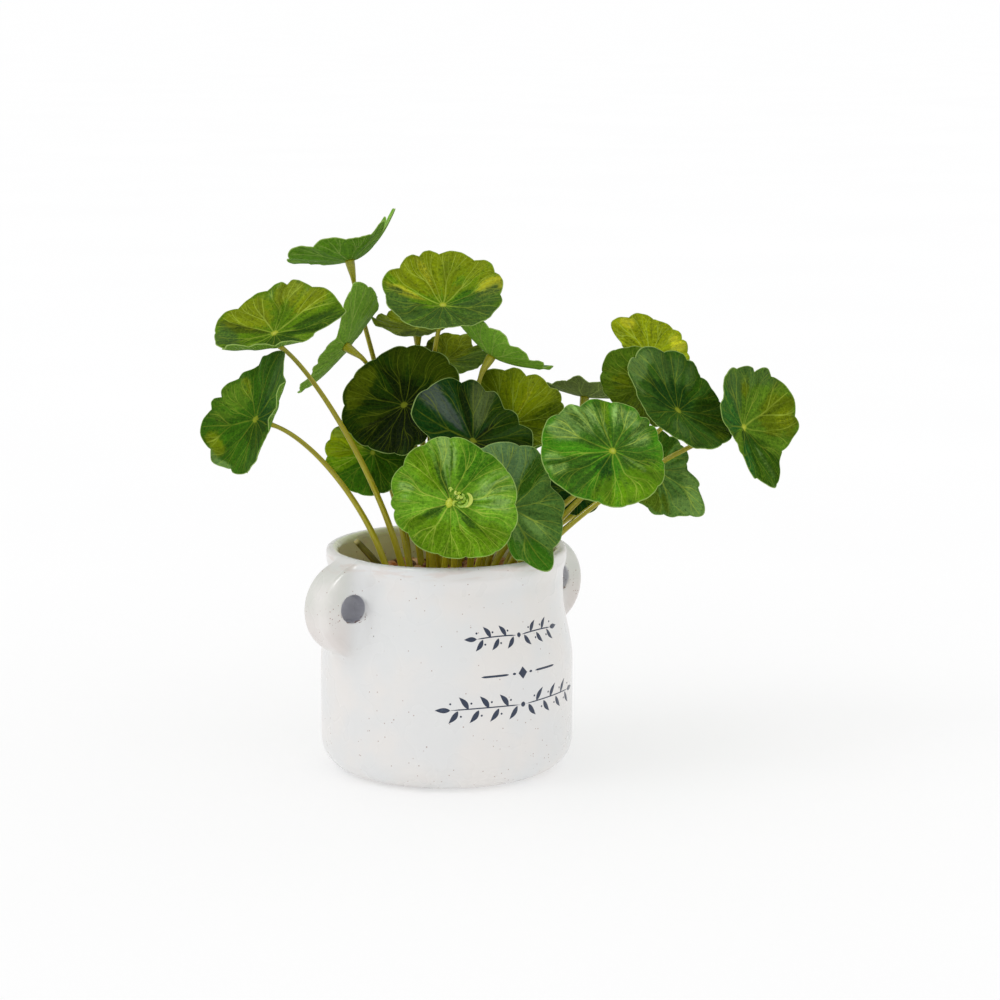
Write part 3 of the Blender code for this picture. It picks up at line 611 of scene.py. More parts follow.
LEAVES = [
    Leaf((-43, 32, 220), 26, 19.7, -140.6, (-12, 29), cup=4.9, curl=17.6, curl_at=158, neck=0.1,
         sway=(-2, 8), rim=(122, 111, 99, 86, 112, 73, 98, 84, 92, 90, 103, 105, 85, 87, 106, 100)),
    Leaf((-72, -25, 194), 27, 39, -22, (-18, -12), cup=1.9, curl=21.3, curl_at=-77, lean=0.9, neck=0.12,
         sway=(11, 0), rim=(74, 121, 113, 112, 109, 98, 92, 104, 107, 94, 82, 98, 97, 89, 93, 86)),
    Leaf((-44, 6, 185), 28, 59.7, -112.9, (-17, 20), cup=4.6, curl=5, curl_at=-123, neck=0.14, sway=(0, 8),
         rim=(56, 43, 66, 108, 104, 98, 101, 114, 82, 79, 109, 110, 110, 91, 66, 59)),
    Leaf((-1, -8, 204), 28, 40, 5, (-3, 13), lobes=13, curl=5, neck=0.26, sway=(-6, 0),
         rim=(92, 100, 106, 105, 106, 102, 99, 100, 88, 78, 76, 68, 58, 58, 70, 80)),
    Leaf((-80, -30, 158), 27, 69.8, -44, (-24, -19), cup=2.4, curl=14.1, curl_at=-6.5, sway=(5, 0),
         rim=(109, 120, 102, 123, 101, 83, 89, 95, 105, 108, 105, 93, 91, 94, 95, 58)),
    Leaf((-18, -2, 160), 27, 70, -5, (-6, 7), lobes=13,
         rim=(83, 101, 103, 99, 98, 91, 90, 96, 101, 103, 96, 87, 86, 72, 68, 72)),
    Leaf((12, -20, 147), 23, 55, 8, (3, -7), curl=8,
         rim=(110, 95, 89, 105, 120, 129, 133, 126, 84, 73, 67, 64, 64, 69, 83, 118)),
    Leaf((3, -56, 127), 27.5, 70, -3, (-1, -27), lobes=13, cup=3,
         rim=(103, 101, 96, 96, 102, 99, 98, 96, 91, 89, 85, 85, 87, 94, 108, 108)),
    Leaf((71, -45, 147), 27, 52, 4, (25, -8), lobes=13, cup=3, sway=(0, 5),
         rim=(77, 76, 76, 80, 87, 93, 102, 112, 116, 118, 108, 102, 109, 104, 98, 85)),
    Leaf((-32, 5, 138), 19.5, 68, -15, (-16, 5), cup=3,
         rim=(90, 80, 78, 78, 82, 89, 98, 104, 106, 106, 102, 101, 103, 106, 108, 102)),
    Leaf((28, -37, 121), 26, 78, 20, (12, -19), lobes=11, cup=0, curl=8, curl_at=-80,
         rim=(94, 83, 98, 109, 109, 113, 105, 94, 84, 75, 62, 42, 87, 115, 96, 92)),
    Leaf((20, 4, 181), 23.5, 34, 112, (10, -2), cup=7, sway=(3, 0),
         rim=(115, 105, 96, 92, 92, 97, 105, 103, 98, 98, 104, 108, 112, 116, 118, 120)),
    Leaf((-1, 28, 176), 17, 30, 20, (5, 19), lobes=11,
         rim=(107, 92, 119, 93, 83, 70, 64, 55, 53, 55, 62, 74, 77, 80, 97, 108)),
    Leaf((29, 20, 149), 24, 42, 5, (15, 8), cup=5,
         rim=(94, 101, 103, 109, 114, 112, 104, 92, 84, 80, 76, 76, 76, 78, 82, 88)),
    Leaf((-13, 26, 190), 18, 18, 0, (-8, 21),
         rim=(85, 92, 97, 97, 96, 96, 95, 100, 110, 115, 90, 70, 66, 64, 68, 75)),
    Leaf((62, 54, 156), 19, 18, 150, (18, 25), lobes=11,
         rim=(112, 97, 87, 82, 93, 115, 118, 106, 97, 91, 97, 108, 112, 112, 112, 112)),
    Leaf((91, 49, 175), 20, 45, 5, (26, 15),
         rim=(87, 89, 89, 87, 99, 110, 116, 68, 40, 55, 61, 66, 73, 84, 91, 90)),
    Leaf((88, 27, 163), 22, 72, -15, (27, 8), sway=(0, 4),
         rim=(97, 88, 83, 82, 84, 89, 103, 98, 90, 73, 57, 52, 60, 85, 98, 101)),
    Leaf((100, -12, 159), 27, 52, 30, (32, -6), lobes=13, cup=5,
         rim=(80, 74, 82, 100, 109, 116, 110, 82, 68, 60, 56, 62, 79, 88, 94, 87)),
    Leaf((128, -14, 152), 27, 72, 40, (31, -16), cup=2.3, curl=14.7, curl_at=174, sway=(0, 5),
         rim=(115, 117, 119, 102, 99, 92, 71, 82, 38, 32, 32, 45, 86, 112, 84, 93)),
    Leaf((92.5, 10, 130), 22, 80, -5, (30, 2), cup=3, lean=0.35,
         rim=(62, 69, 71, 73, 79, 79, 76, 74, 73, 72, 72, 77, 92, 103, 132, 95)),
    Leaf((57, 8, 123), 14, 70, 20, (20, 3), lobes=10, cup=2, lean=0.3),
    Leaf((-14, 50, 148), 22, 40, -165, (-6, 34), cup=5),
    Leaf((28, 56, 140), 20, 48, 170, (6, 32)),
    Leaf((71, 67, 130), 18, 45, 140, (21, 19), lean=0.35),
    Leaf((12, 63, 114), 16, 55, 180, (0, 28), cup=3, lean=0.2),
]


def blade_axes(leaf):
    """Side, uphill and normal directions of a blade in the plant's frame."""
    tilt, facing = math.radians(leaf.tilt), math.radians(leaf.facing)
    side = np.array([math.cos(facing), math.sin(facing), 0.0])
    normal = np.array([math.sin(tilt) * side[1], -math.sin(tilt) * side[0], math.cos(tilt)])
    return side, np.cross(normal, side), normal


def in_crock(points):
    """The plant's frame turned in the crock, about Z."""
    c, s = math.cos(PLANT_TURN), math.sin(PLANT_TURN)
    x, y, z = np.moveaxis(np.asarray(points, float), -1, 0)
    return np.stack([c * x - s * y, s * x + c * y, z], axis=-1)


def on_blade(leaf, points):
    """Points of a blade's own frame in the shared frame."""
    return in_crock(np.asarray(leaf.at, float) + points @ np.array(blade_axes(leaf)))


def cloud(points, cell, seed):
    """Smooth noise from 0 to 1: random values at the corners of cells, blended by smooth steps."""
    table = np.random.default_rng(seed).random((16, 16, 16))
    where = np.asarray(points) / cell
    low = np.floor(where).astype(int)
    share = smooth_step(where - low)
    total = 0
    for corner in np.ndindex(2, 2, 2):
        weight = np.prod(np.where(corner, share, 1 - share), axis=-1)
        i, j, k = np.moveaxis((low + corner) % 16, -1, 0)
        total = total + weight * table[i, j, k]
    return total


# The pebbles: small orange-brown river stones, washed and shiny, on a bed of grit over the soil.

PEBBLE_BED_TOP = 82.5
SOIL_TOP = 77.0
PEBBLES = 100
PEBBLE_SEED = 5
PEBBLE_FIELD_R = 43.0
PEBBLE_CLEAR = 3.4
PEBBLE_LIFT = (0.1, 0.9)
PEBBLE_LEAST = (3.5, 2.8, 2.1)
PEBBLE_MOST = (4.2, 3.4, 2.6)
STONE_SWELL = 0.35
STONE_CUTS = 5
CUT_AT = (0.72, 0.95)
CUT_SHARE = 0.85
STUB_ROOT = (-28, 5, GRAVEL_Z)
STUB_TOP = (-40, 5, 99)
GRITS = 230
GRIT_FIELD_R = 45.2
GRIT_STRAY = 1.2
GRIT_CLEAR = 2.9
GRIT_LEAST = (1.4, 1.1, 0.9)
GRIT_MOST = (2.4, 1.9, 1.5)
GRIT_LEAN = 0.6
BED_GAP = 0.35
BED_STEP = 1.05
BED_BOX = ((-48.1, -48.1, 75.9), (48.1, 48.1, 86.0))
STONE_TONES = ((198, 122, 62), (172, 96, 46), (224, 168, 108), (132, 76, 42), (212, 146, 96), (112, 72, 48))

stalk_roots = in_crock([(*leaf.root, 0) for leaf in LEAVES] + [(*STUB_ROOT[:2], 0)])[:, :2]


def sunflower(count, reach):
    """Places spread evenly over a disc: reach sqrt((k + 1/2) / count) out, each a golden angle on."""
    k = np.arange(count)
    out, turn = reach * np.sqrt((k + 0.5) / count), k * math.pi * (3 - math.sqrt(5))
    return np.stack([out * np.cos(turn), out * np.sin(turn)], axis=1)


def clear_of_stalks(places, gap):
    """Which places lie more than the gap from every stalk's middle."""
    return np.linalg.norm(places[:, None] - stalk_roots, axis=2).min(axis=1) > gap


def stone_shape(subdivisions):
    """Points and triangles of a ball of radius 1 with even faces."""
    ball = bmesh.new()
    bmesh.ops.create_icosphere(ball, subdivisions=subdivisions, radius=1)
    points = np.array([vertex.co for vertex in ball.verts])
    faces = np.array([[vertex.index for vertex in face.verts] for face in ball.faces])
    ball.free()
    return points, faces


def scatter(places, sizes, shape, chance, lean=0.3):
    """A stone at each place: the ball swollen by noise, flattened by a few cuts, stretched and turned.

    A point u of the ball moves to u (1 + STONE_SWELL (noise(2 u) - 1/2)). Each cut then takes CUT_SHARE off
    what lies past a random plane. Returns points, triangles and the number of each point's stone.
    """
    ball, faces = shape
    count = len(places)
    offset = chance.uniform(0, 50, (count, 1, 3))
    points = ball * (1 + STONE_SWELL * (cloud(ball * 2 + offset, 1.0, 3) - 0.5))[..., None]
    for _ in range(STONE_CUTS):
        cut = chance.normal(size=(count, 1, 3))
        cut /= np.linalg.norm(cut, axis=2, keepdims=True)
        limit = chance.uniform(*CUT_AT, (count, 1, 1))
        over = np.clip((points * cut).sum(axis=2, keepdims=True) - limit, 0, None)
        points = points - over * cut * CUT_SHARE
    points = points * sizes[:, None]
    tilt_x, tilt_y = chance.uniform(-lean, lean, (2, count, 1))
    turn = chance.uniform(0, TAU, (count, 1))
    x, y, z = np.moveaxis(points, -1, 0)
    y, z = y * np.cos(tilt_x) - z * np.sin(tilt_x), y * np.sin(tilt_x) + z * np.cos(tilt_x)
    x, z = x * np.cos(tilt_y) + z * np.sin(tilt_y), z * np.cos(tilt_y) - x * np.sin(tilt_y)
    x, y = x * np.cos(turn) - y * np.sin(turn), x * np.sin(turn) + y * np.cos(turn)
    points = np.stack([x, y, z], axis=-1) + places[:, None]
    faces = faces + np.arange(count)[:, None, None] * len(ball)
    return points.reshape(-1, 3), faces.reshape(-1, 3), np.repeat(np.arange(count), len(ball))


def bed_field(points):
    """Signed distance to the bed of grit: a disc that just clears the wall and the soil, with a lumpy top."""
    x, y, z = np.moveaxis(points, -1, 0)
    level = points * (1, 1, 0)
    lumps = 1.1 * cloud(level, 2.6, 11) + 0.6 * cloud(level, 1.3, 12)
    height = np.maximum(z - PEBBLE_BED_TOP - lumps + 0.6, SOIL_TOP + BED_GAP - z)
    return np.maximum(np.hypot(x, y) - INNER_NECK_R + BED_GAP, height)


def pebble_stone():
    """Wet-looking stone: a tone of its own for each, mottled, with fine pits."""
    stone = Finish("river_pebble", {"Coat Weight": 0.3, "Coat Roughness": 0.12})
    place = stone.place()
    own = stone.attribute("stone_tone")
    mottle = stone.noise(place, 700.0, 5.0, 0.65)
    colour = stone.mix(stone.step(mottle, 0.45, 0.72) * 0.55, own, shade(222, 182, 140))
    colour = stone.mix(stone.step(mottle, 0.45, 0.25) * 0.6, colour, shade(74, 44, 28))
    stone.feed("Base Color", colour)
    stone.feed("Roughness", mottle * 0.3 + 0.28)
    stone.relief(mottle, 0.0004, 0.6)
    return stone.material


chance = np.random.default_rng(PEBBLE_SEED)
spread = sunflower(PEBBLES, PEBBLE_FIELD_R)
lift = PEBBLE_BED_TOP + chance.uniform(*PEBBLE_LIFT, PEBBLES)
spread = np.column_stack([spread, lift])[clear_of_stalks(spread, PEBBLE_CLEAR)]
chance = np.random.default_rng(PEBBLE_SEED + 1)
sizes = chance.uniform(PEBBLE_LEAST, PEBBLE_MOST, (len(spread), 3))
large = scatter(spread, sizes, stone_shape(3), chance)
grit = sunflower(GRITS, GRIT_FIELD_R)
grit = grit + chance.uniform(-GRIT_STRAY, GRIT_STRAY, grit.shape)
grit = grit[clear_of_stalks(grit, GRIT_CLEAR)]
grit = np.column_stack([grit, PEBBLE_BED_TOP + chance.uniform(0.0, 1.0, len(grit))])
grit_sizes = chance.uniform(GRIT_LEAST, GRIT_MOST, grit.shape)
small = scatter(grit, grit_sizes, stone_shape(2), chance, GRIT_LEAN)
bed_points, _, bed_quads = surface_net(bed_field, *BED_BOX, BED_STEP)
tone_choice = np.array([shade(*tone) for tone in STONE_TONES])
large_tones = tone_choice[chance.integers(0, len(tone_choice), len(spread))][large[2]]
small_tones = tone_choice[chance.integers(0, len(tone_choice), len(grit))][small[2]]
bed_tones = np.tile(tone_choice[3], (len(bed_points), 1))
pebble_points = np.concatenate([bed_points, large[0], small[0]])
pebble_faces = [bed_quads, large[1] + len(bed_points), small[1] + len(bed_points) + len(large[0])]
piece(
    "pebbles_on_grit", pebble_points, pebble_faces, pebble_stone(), ["pebbles"],
    tints={"stone_tone": np.concatenate([bed_tones, large_tones, small_tones])},
)

# The blades: round, scalloped and waxy, carried at their middle. Veins run from a yellow dot to the lobes and
# fork on the way, the flesh swells between them, and a thin pale line edges the whole blade.

SEAT_R = 2.4
NOTCH = 0.048
NOTCH_SWAY = 0.55
LOBE_SWAY = (0.09, 0.05, 0.035, 0.04)
OVAL = 0.03
PUCKER = 1.6
PUCKER_LEVEL = 0.6
BLADE_ROWS = 28
LOBE_STEPS = 16
BLADE_T_MIDDLE = 0.7
BLADE_T_EDGE = 0.34
VEIN_BEND = 0.16
SECTOR = 13.5
FORK_SPREAD = 0.62
TWIG_SPREAD = 0.42
FORK_AT = (0.34, 0.58)
TWIG_AT = (0.62, 0.82)
SWELL = 0.5
SWELL_WIDTH = 1.7
PLEAT = 1.1
LEAF_TONES = {
    "night": shade(12, 28, 2),
    "deep": shade(30, 58, 4),
    "bottle": shade(16, 54, 14),
    "forest": shade(44, 80, 20),
    "dark": shade(40, 78, 8),
    "green": shade(50, 104, 14),
    "fresh": shade(88, 138, 28),
    "lush": shade(84, 124, 6),
    "lime": shade(126, 142, 6),
    "gold": shade(180, 182, 36),
    "olive": shade(88, 104, 4),
    "moss": shade(60, 80, 4),
    "jade": shade(28, 84, 30),
    "leafy": shade(72, 106, 20),
    "slate": shade(62, 94, 40),
    # The sage, dusk, steel, mist and sheen tones are painted highlights: soft light on the waxy blades, laid
    # into their colour.
    "sage_sheen": shade(88, 120, 60),
    "haze": shade(104, 140, 50),
    "dusk_sheen": shade(82, 112, 72),
    "steel_sheen": shade(74, 86, 80),
    "mist_sheen": shade(84, 100, 56),
    "sheen": shade(132, 170, 92),
    "grey": shade(72, 86, 40),
    "back": shade(72, 112, 20),
    "pale_back": shade(98, 140, 42),
    "fresh_back": shade(108, 158, 44),
}
# For each blade: its ground colour, its underside, and its washes, each a colour, the direction and share of
# the radius where it is laid, how wide it spreads in degrees, and how far along the radius.
# Washes in the sage, dusk, steel, mist and sheen tones are painted highlights.
WASHES = {
    1: ("fresh", "back", [("lime", 60, 0.6, 60, 0.4)]),
    2: ("lush", "pale_back", [
        ("lime", 150, 0.6, 36, 0.44), ("sheen", 92, 0.84, 24, 0.14), ("lime", 92, 0.8, 16, 0.2),
        ("lime", 62, 0.7, 22, 0.3), ("dark", -60, 0.3, 70, 0.34), ("dark", 14, 0.6, 24, 0.5),
        ("slate", 190, 0.8, 20, 0.24), ("forest", -30, 0.6, 14, 0.4), ("moss", 178, 0.5, 12, 0.4),
    ]),
    3: ("fresh", "pale_back", [("sheen", 80, 0.6, 30, 0.4)]),
    4: ("lush", "back", [
        ("lime", 95, 0.75, 75, 0.6), ("lush", 68, 0.55, 26, 0.24), ("gold", 158, 0.6, 9, 0.3),
        ("gold", 20, 0.78, 13, 0.3), ("gold", 112, 0.66, 5, 0.24), ("slate", -90, 0.5, 96, 1.2),
        ("green", 20, 0.35, 20, 0.26), ("slate", 178, 0.8, 18, 0.4), ("forest", -100, 0.3, 80, 0.34),
        ("slate", 6, 0.6, 14, 0.5),
    ]),
    5: ("dark", "back", [
        ("leafy", 150, 0.66, 34, 0.34), ("olive", 128, 0.7, 12, 0.2), ("forest", 50, 0.7, 44, 0.7),
        ("sage_sheen", 238, 0.97, 18, 0.08), ("deep", -50, 0.3, 70, 0.3), ("slate", 66, 0.7, 8, 0.4),
        ("olive", 215, 0.8, 14, 0.14), ("forest", -60, 0.7, 24, 0.4), ("bottle", 20, 0.2, 60, 0.24),
    ]),
    # Leaf 6: the night wash at 118 degrees is painted shade in the crease by the dot.
    6: ("deep", "back", [
        ("olive", 150, 0.8, 26, 0.18), ("olive", 178, 0.84, 14, 0.14), ("moss", 66, 0.8, 54, 0.3),
        ("night", 118, 0.4, 12, 0.5), ("night", -90, 0.5, 66, 0.56), ("moss", 205, 0.5, 14, 0.3),
        ("night", 10, 0.2, 180, 0.24),
    ]),
    # Leaf 7: the steel and mist wedges are painted highlights on the two faces of a fold, and the night line
    # at 99 degrees is painted shade along it.
    7: ("bottle", "back", [
        ("steel_sheen", 128, 0.68, 17, 0.46), ("mist_sheen", 72, 0.62, 15, 0.4), ("night", 99, 0.4, 6, 0.5),
        ("deep", 8, 0.6, 34, 0.6), ("bottle", 170, 0.7, 18, 0.5), ("night", -60, 0.2, 110, 0.3),
        ("bottle", 116, 0.8, 5, 0.4), ("night", 36, 0.3, 8, 0.3), ("deep", 48, 0.8, 14, 0.3),
    ]),
    # Leaf 8: the forest wash at 112 degrees is painted shade in the crease above the buds.
    8: ("fresh", "back", [
        ("lush", -88, 0.72, 62, 0.44), ("green", 62, 0.75, 22, 0.4), ("lush", 130, 0.6, 16, 0.4),
        ("sheen", 98, 0.72, 17, 0.36), ("sheen", 2, 0.62, 18, 0.34), ("sheen", 28, 0.7, 8, 0.26),
        ("forest", -146, 0.3, 16, 0.24), ("forest", 112, 0.34, 7, 0.24), ("forest", -48, 0.32, 8, 0.24),
        ("sheen", 165, 0.76, 14, 0.12), ("lush", -130, 0.6, 14, 0.3),
    ]),
    9: ("green", "back", [
        ("lush", -62, 0.75, 48, 0.42), ("forest", 60, 0.5, 150, 0.5), ("sage_sheen", 146, 0.7, 30, 0.26),
        ("sage_sheen", 62, 0.74, 36, 0.2), ("sage_sheen", 16, 0.6, 16, 0.24), ("forest", -150, 0.6, 26, 0.4),
        ("bottle", -122, 0.28, 30, 0.22), ("lush", 96, 0.6, 6, 0.4), ("sheen", 131, 0.78, 12, 0.3),
        ("sheen", 112, 0.6, 8, 0.34), ("sheen", 84, 0.7, 10, 0.3), ("sheen", 60, 0.74, 9, 0.24),
        ("sheen", 24, 0.6, 12, 0.26), ("sheen", 196, 0.82, 12, 0.16), ("sheen", 160, 0.74, 10, 0.22),
        ("sheen", -40, 0.4, 9, 0.18),
    ]),
    10: ("dark", "back", [
        ("lime", 165, 0.7, 40, 0.4), ("lush", 190, 0.6, 24, 0.4), ("sage_sheen", 150, 0.86, 12, 0.12),
        ("deep", -40, 0.5, 50, 0.5),
    ]),
    11: ("slate", "back", [
        ("dusk_sheen", 98, 0.8, 40, 0.4), ("night", 175, 0.5, 24, 0.5), ("sage_sheen", -40, 0.5, 12, 0.3),
        ("dark", 50, 0.6, 14, 0.4), ("green", -80, 0.85, 26, 0.26), ("dark", -112, 0.6, 10, 0.4),
        ("slate", 10, 0.5, 14, 0.3), ("sage_sheen", -84, 0.6, 6, 0.3),
    ]),
    12: ("green", "fresh_back", [("sheen", 0, 0.6, 30, 0.4)]),
    13: ("lime", "back", [
        ("haze", -60, 0.7, 56, 0.5), ("haze", -10, 0.7, 20, 0.4), ("moss", 130, 0.7, 24, 0.4),
    ]),
    14: ("olive", "back", [
        ("lime", 62, 0.6, 40, 0.44), ("olive", 134, 0.7, 26, 0.5), ("moss", -90, 0.5, 60, 0.5),
        ("moss", 8, 0.7, 16, 0.3), ("gold", 60, 0.5, 6, 0.24),
    ]),
    15: ("olive", "grey", [("lime", 130, 0.7, 40, 0.3), ("moss", -90, 0.6, 50, 0.4)]),
    16: ("moss", "grey", []),
    17: ("lime", "back", [
        ("gold", 24, 0.76, 18, 0.2), ("olive", 165, 0.5, 30, 0.5), ("gold", 120, 0.84, 10, 0.12),
    ]),
    18: ("moss", "back", [
        ("leafy", 140, 0.84, 60, 0.3), ("olive", 165, 0.6, 20, 0.3), ("deep", 30, 0.4, 60, 0.5),
    ]),
    # Leaf 19: the narrow slate streaks high on the blade are painted highlights.
    19: ("forest", "back", [
        ("bottle", 80, 0.26, 120, 0.26), ("sage_sheen", 124, 0.86, 26, 0.16), ("slate", 96, 0.66, 9, 0.3),
        ("slate", 74, 0.66, 9, 0.26), ("deep", -14, 0.7, 44, 0.5), ("moss", -42, 0.84, 14, 0.14),
        ("slate", 52, 0.7, 11, 0.2), ("slate", -110, 0.5, 24, 0.3), ("dark", 40, 0.7, 12, 0.4),
    ]),
    20: ("leafy", "back", [
        ("slate", 70, 0.84, 40, 0.2), ("olive", 12, 0.66, 30, 0.34), ("olive", 74, 0.68, 8, 0.16),
        ("lime", 4, 0.74, 10, 0.14), ("jade", 146, 0.5, 44, 0.7), ("dark", -75, 0.6, 30, 0.7),
        ("bottle", -90, 0.2, 40, 0.24), ("sage_sheen", -64, 0.6, 3, 0.3), ("jade", -96, 0.6, 12, 0.5),
        ("slate", 100, 0.6, 16, 0.4),
    ]),
    21: ("slate", "back", [
        ("dark", 90, 0.5, 60, 0.5), ("sage_sheen", -40, 0.8, 30, 0.2), ("moss", -100, 0.7, 30, 0.3),
    ]),
    22: ("bottle", "back", [("dark", 0, 0.5, 60, 0.4)]),
    23: ("green", "back", [
        ("fresh", 60, 0.6, 50, 0.4), ("sheen", 110, 0.7, 10, 0.26), ("dark", -90, 0.4, 50, 0.4),
    ]),
    24: ("dark", "back", [("olive", 120, 0.7, 50, 0.4), ("sheen", 60, 0.7, 8, 0.26)]),
    25: ("green", "back", [("lime", 70, 0.7, 40, 0.4), ("dark", -60, 0.4, 50, 0.4)]),
    26: ("fresh", "back", [("olive", 60, 0.7, 60, 0.4), ("sheen", 110, 0.6, 8, 0.26)]),
}
# How light a blade is against its tones, set by its mean colour in the photo; 1 where none is given. Besides
# the blade's own tone, it holds painted light and shade that make up for how much light reaches each blade.
TONE_AND_PAINTED_LIGHT = {
    1: 1.28, 2: 0.80, 3: 1.14, 4: 0.80, 5: 1.28, 6: 0.74, 7: 0.98, 8: 0.98, 9: 1.2, 10: 1.7, 11: 1.42,
    12: 0.98, 13: 0.74, 14: 1.16, 16: 1.75, 17: 1.14, 18: 1.1, 19: 1.02, 20: 0.96, 21: 1.6,
}


def rim_share(leaf, direction, phase):
    """How far the edge reaches, as a share of the radius.

    With a rim: its shares, evenly spaced ways round, joined by smooth steps of the direction. Without one:
    1 + OVAL sin(2 direction + s3).
    """
    if not leaf.rim:
        return 1 + OVAL * np.sin(2 * direction + phase[3])
    ways = len(leaf.rim)
    share = direction / TAU * ways
    first = np.floor(share).astype(int)
    share = smooth_step(share - first)
    rim = np.array(leaf.rim) / 100
    return rim[first % ways] * (1 - share) + rim[(first + 1) % ways] * share


def blade_points(number, leaf, reach, turn):
    """Points of the blade's middle surface in its own frame, from the middle (reach 0) to the edge (1).

    direction = turn + s0 + the sum of LOBE_SWAY sin(k turn + s) for k from 2 to 5, and a bend of noise that
    fades out at the middle and the edge, with every s a phase of the blade's own
    distance = reach radius rim_share (1 - notch (1 - crown^0.75) reach^4), with crown 1 on a lobe and 0
    in a notch, and notch = NOTCH (1 + NOTCH_SWAY sin(3 turn + s7) sin(2 turn + s8))
    lift = cup free^1.4 + curl (free cos(direction - curl_at))^2 on that side + waves, with free the
    share of the way from the stalk's seat to the radius
    waves = free^2 sin(3 direction + s4) + PUCKER free^1.5 (crown - PUCKER_LEVEL).
    """
    phase = np.random.default_rng(number).uniform(0, TAU, 9)
    crown = np.abs(np.sin(leaf.lobes * turn / 2))
    waves = zip(LOBE_SWAY, (2, 3, 4, 5), phase[[1, 2, 5, 6]])
    direction = turn + phase[0] + sum(size * np.sin(count * turn + start) for size, count, start in waves)
    circle = np.stack([np.cos(turn) * 2.2, np.sin(turn) * 2.2, reach * 2.6], axis=-1)
    bend = cloud(circle + 20 + number, 1.0, 31)
    direction = direction + VEIN_BEND * 2 * (bend - 0.5) * np.sin(np.pi * reach) ** 0.8
    notch = NOTCH * (1 + NOTCH_SWAY * np.sin(3 * turn + phase[7]) * np.sin(2 * turn + phase[8]))
    edge = leaf.radius * rim_share(leaf, direction, phase)
    distance = reach * edge * (1 - notch * (1 - crown**0.75) * reach**4)
    free = np.clip((distance - SEAT_R) / (leaf.radius - SEAT_R), 0, None)
    curled = np.clip(np.cos(direction - math.radians(leaf.curl_at)), 0, None)
    lift = leaf.cup * free**1.4 + leaf.curl * (free * curled) ** 2
    lift = lift + free**2 * np.sin(3 * direction + phase[4]) + PUCKER * free**1.5 * (crown - PUCKER_LEVEL)
    points = np.stack([distance * np.cos(direction), distance * np.sin(direction), lift], axis=-1)
    return points, free, direction


def sheet_normals(grid):
    """Normals of a grid of points that closes round: the cross product of its two differences."""
    out = np.gradient(grid, axis=0)
    round_it = np.roll(grid, -1, axis=1) - np.roll(grid, 1, axis=1)
    normal = np.cross(out, round_it)
    return normal / np.linalg.norm(normal, axis=-1, keepdims=True)


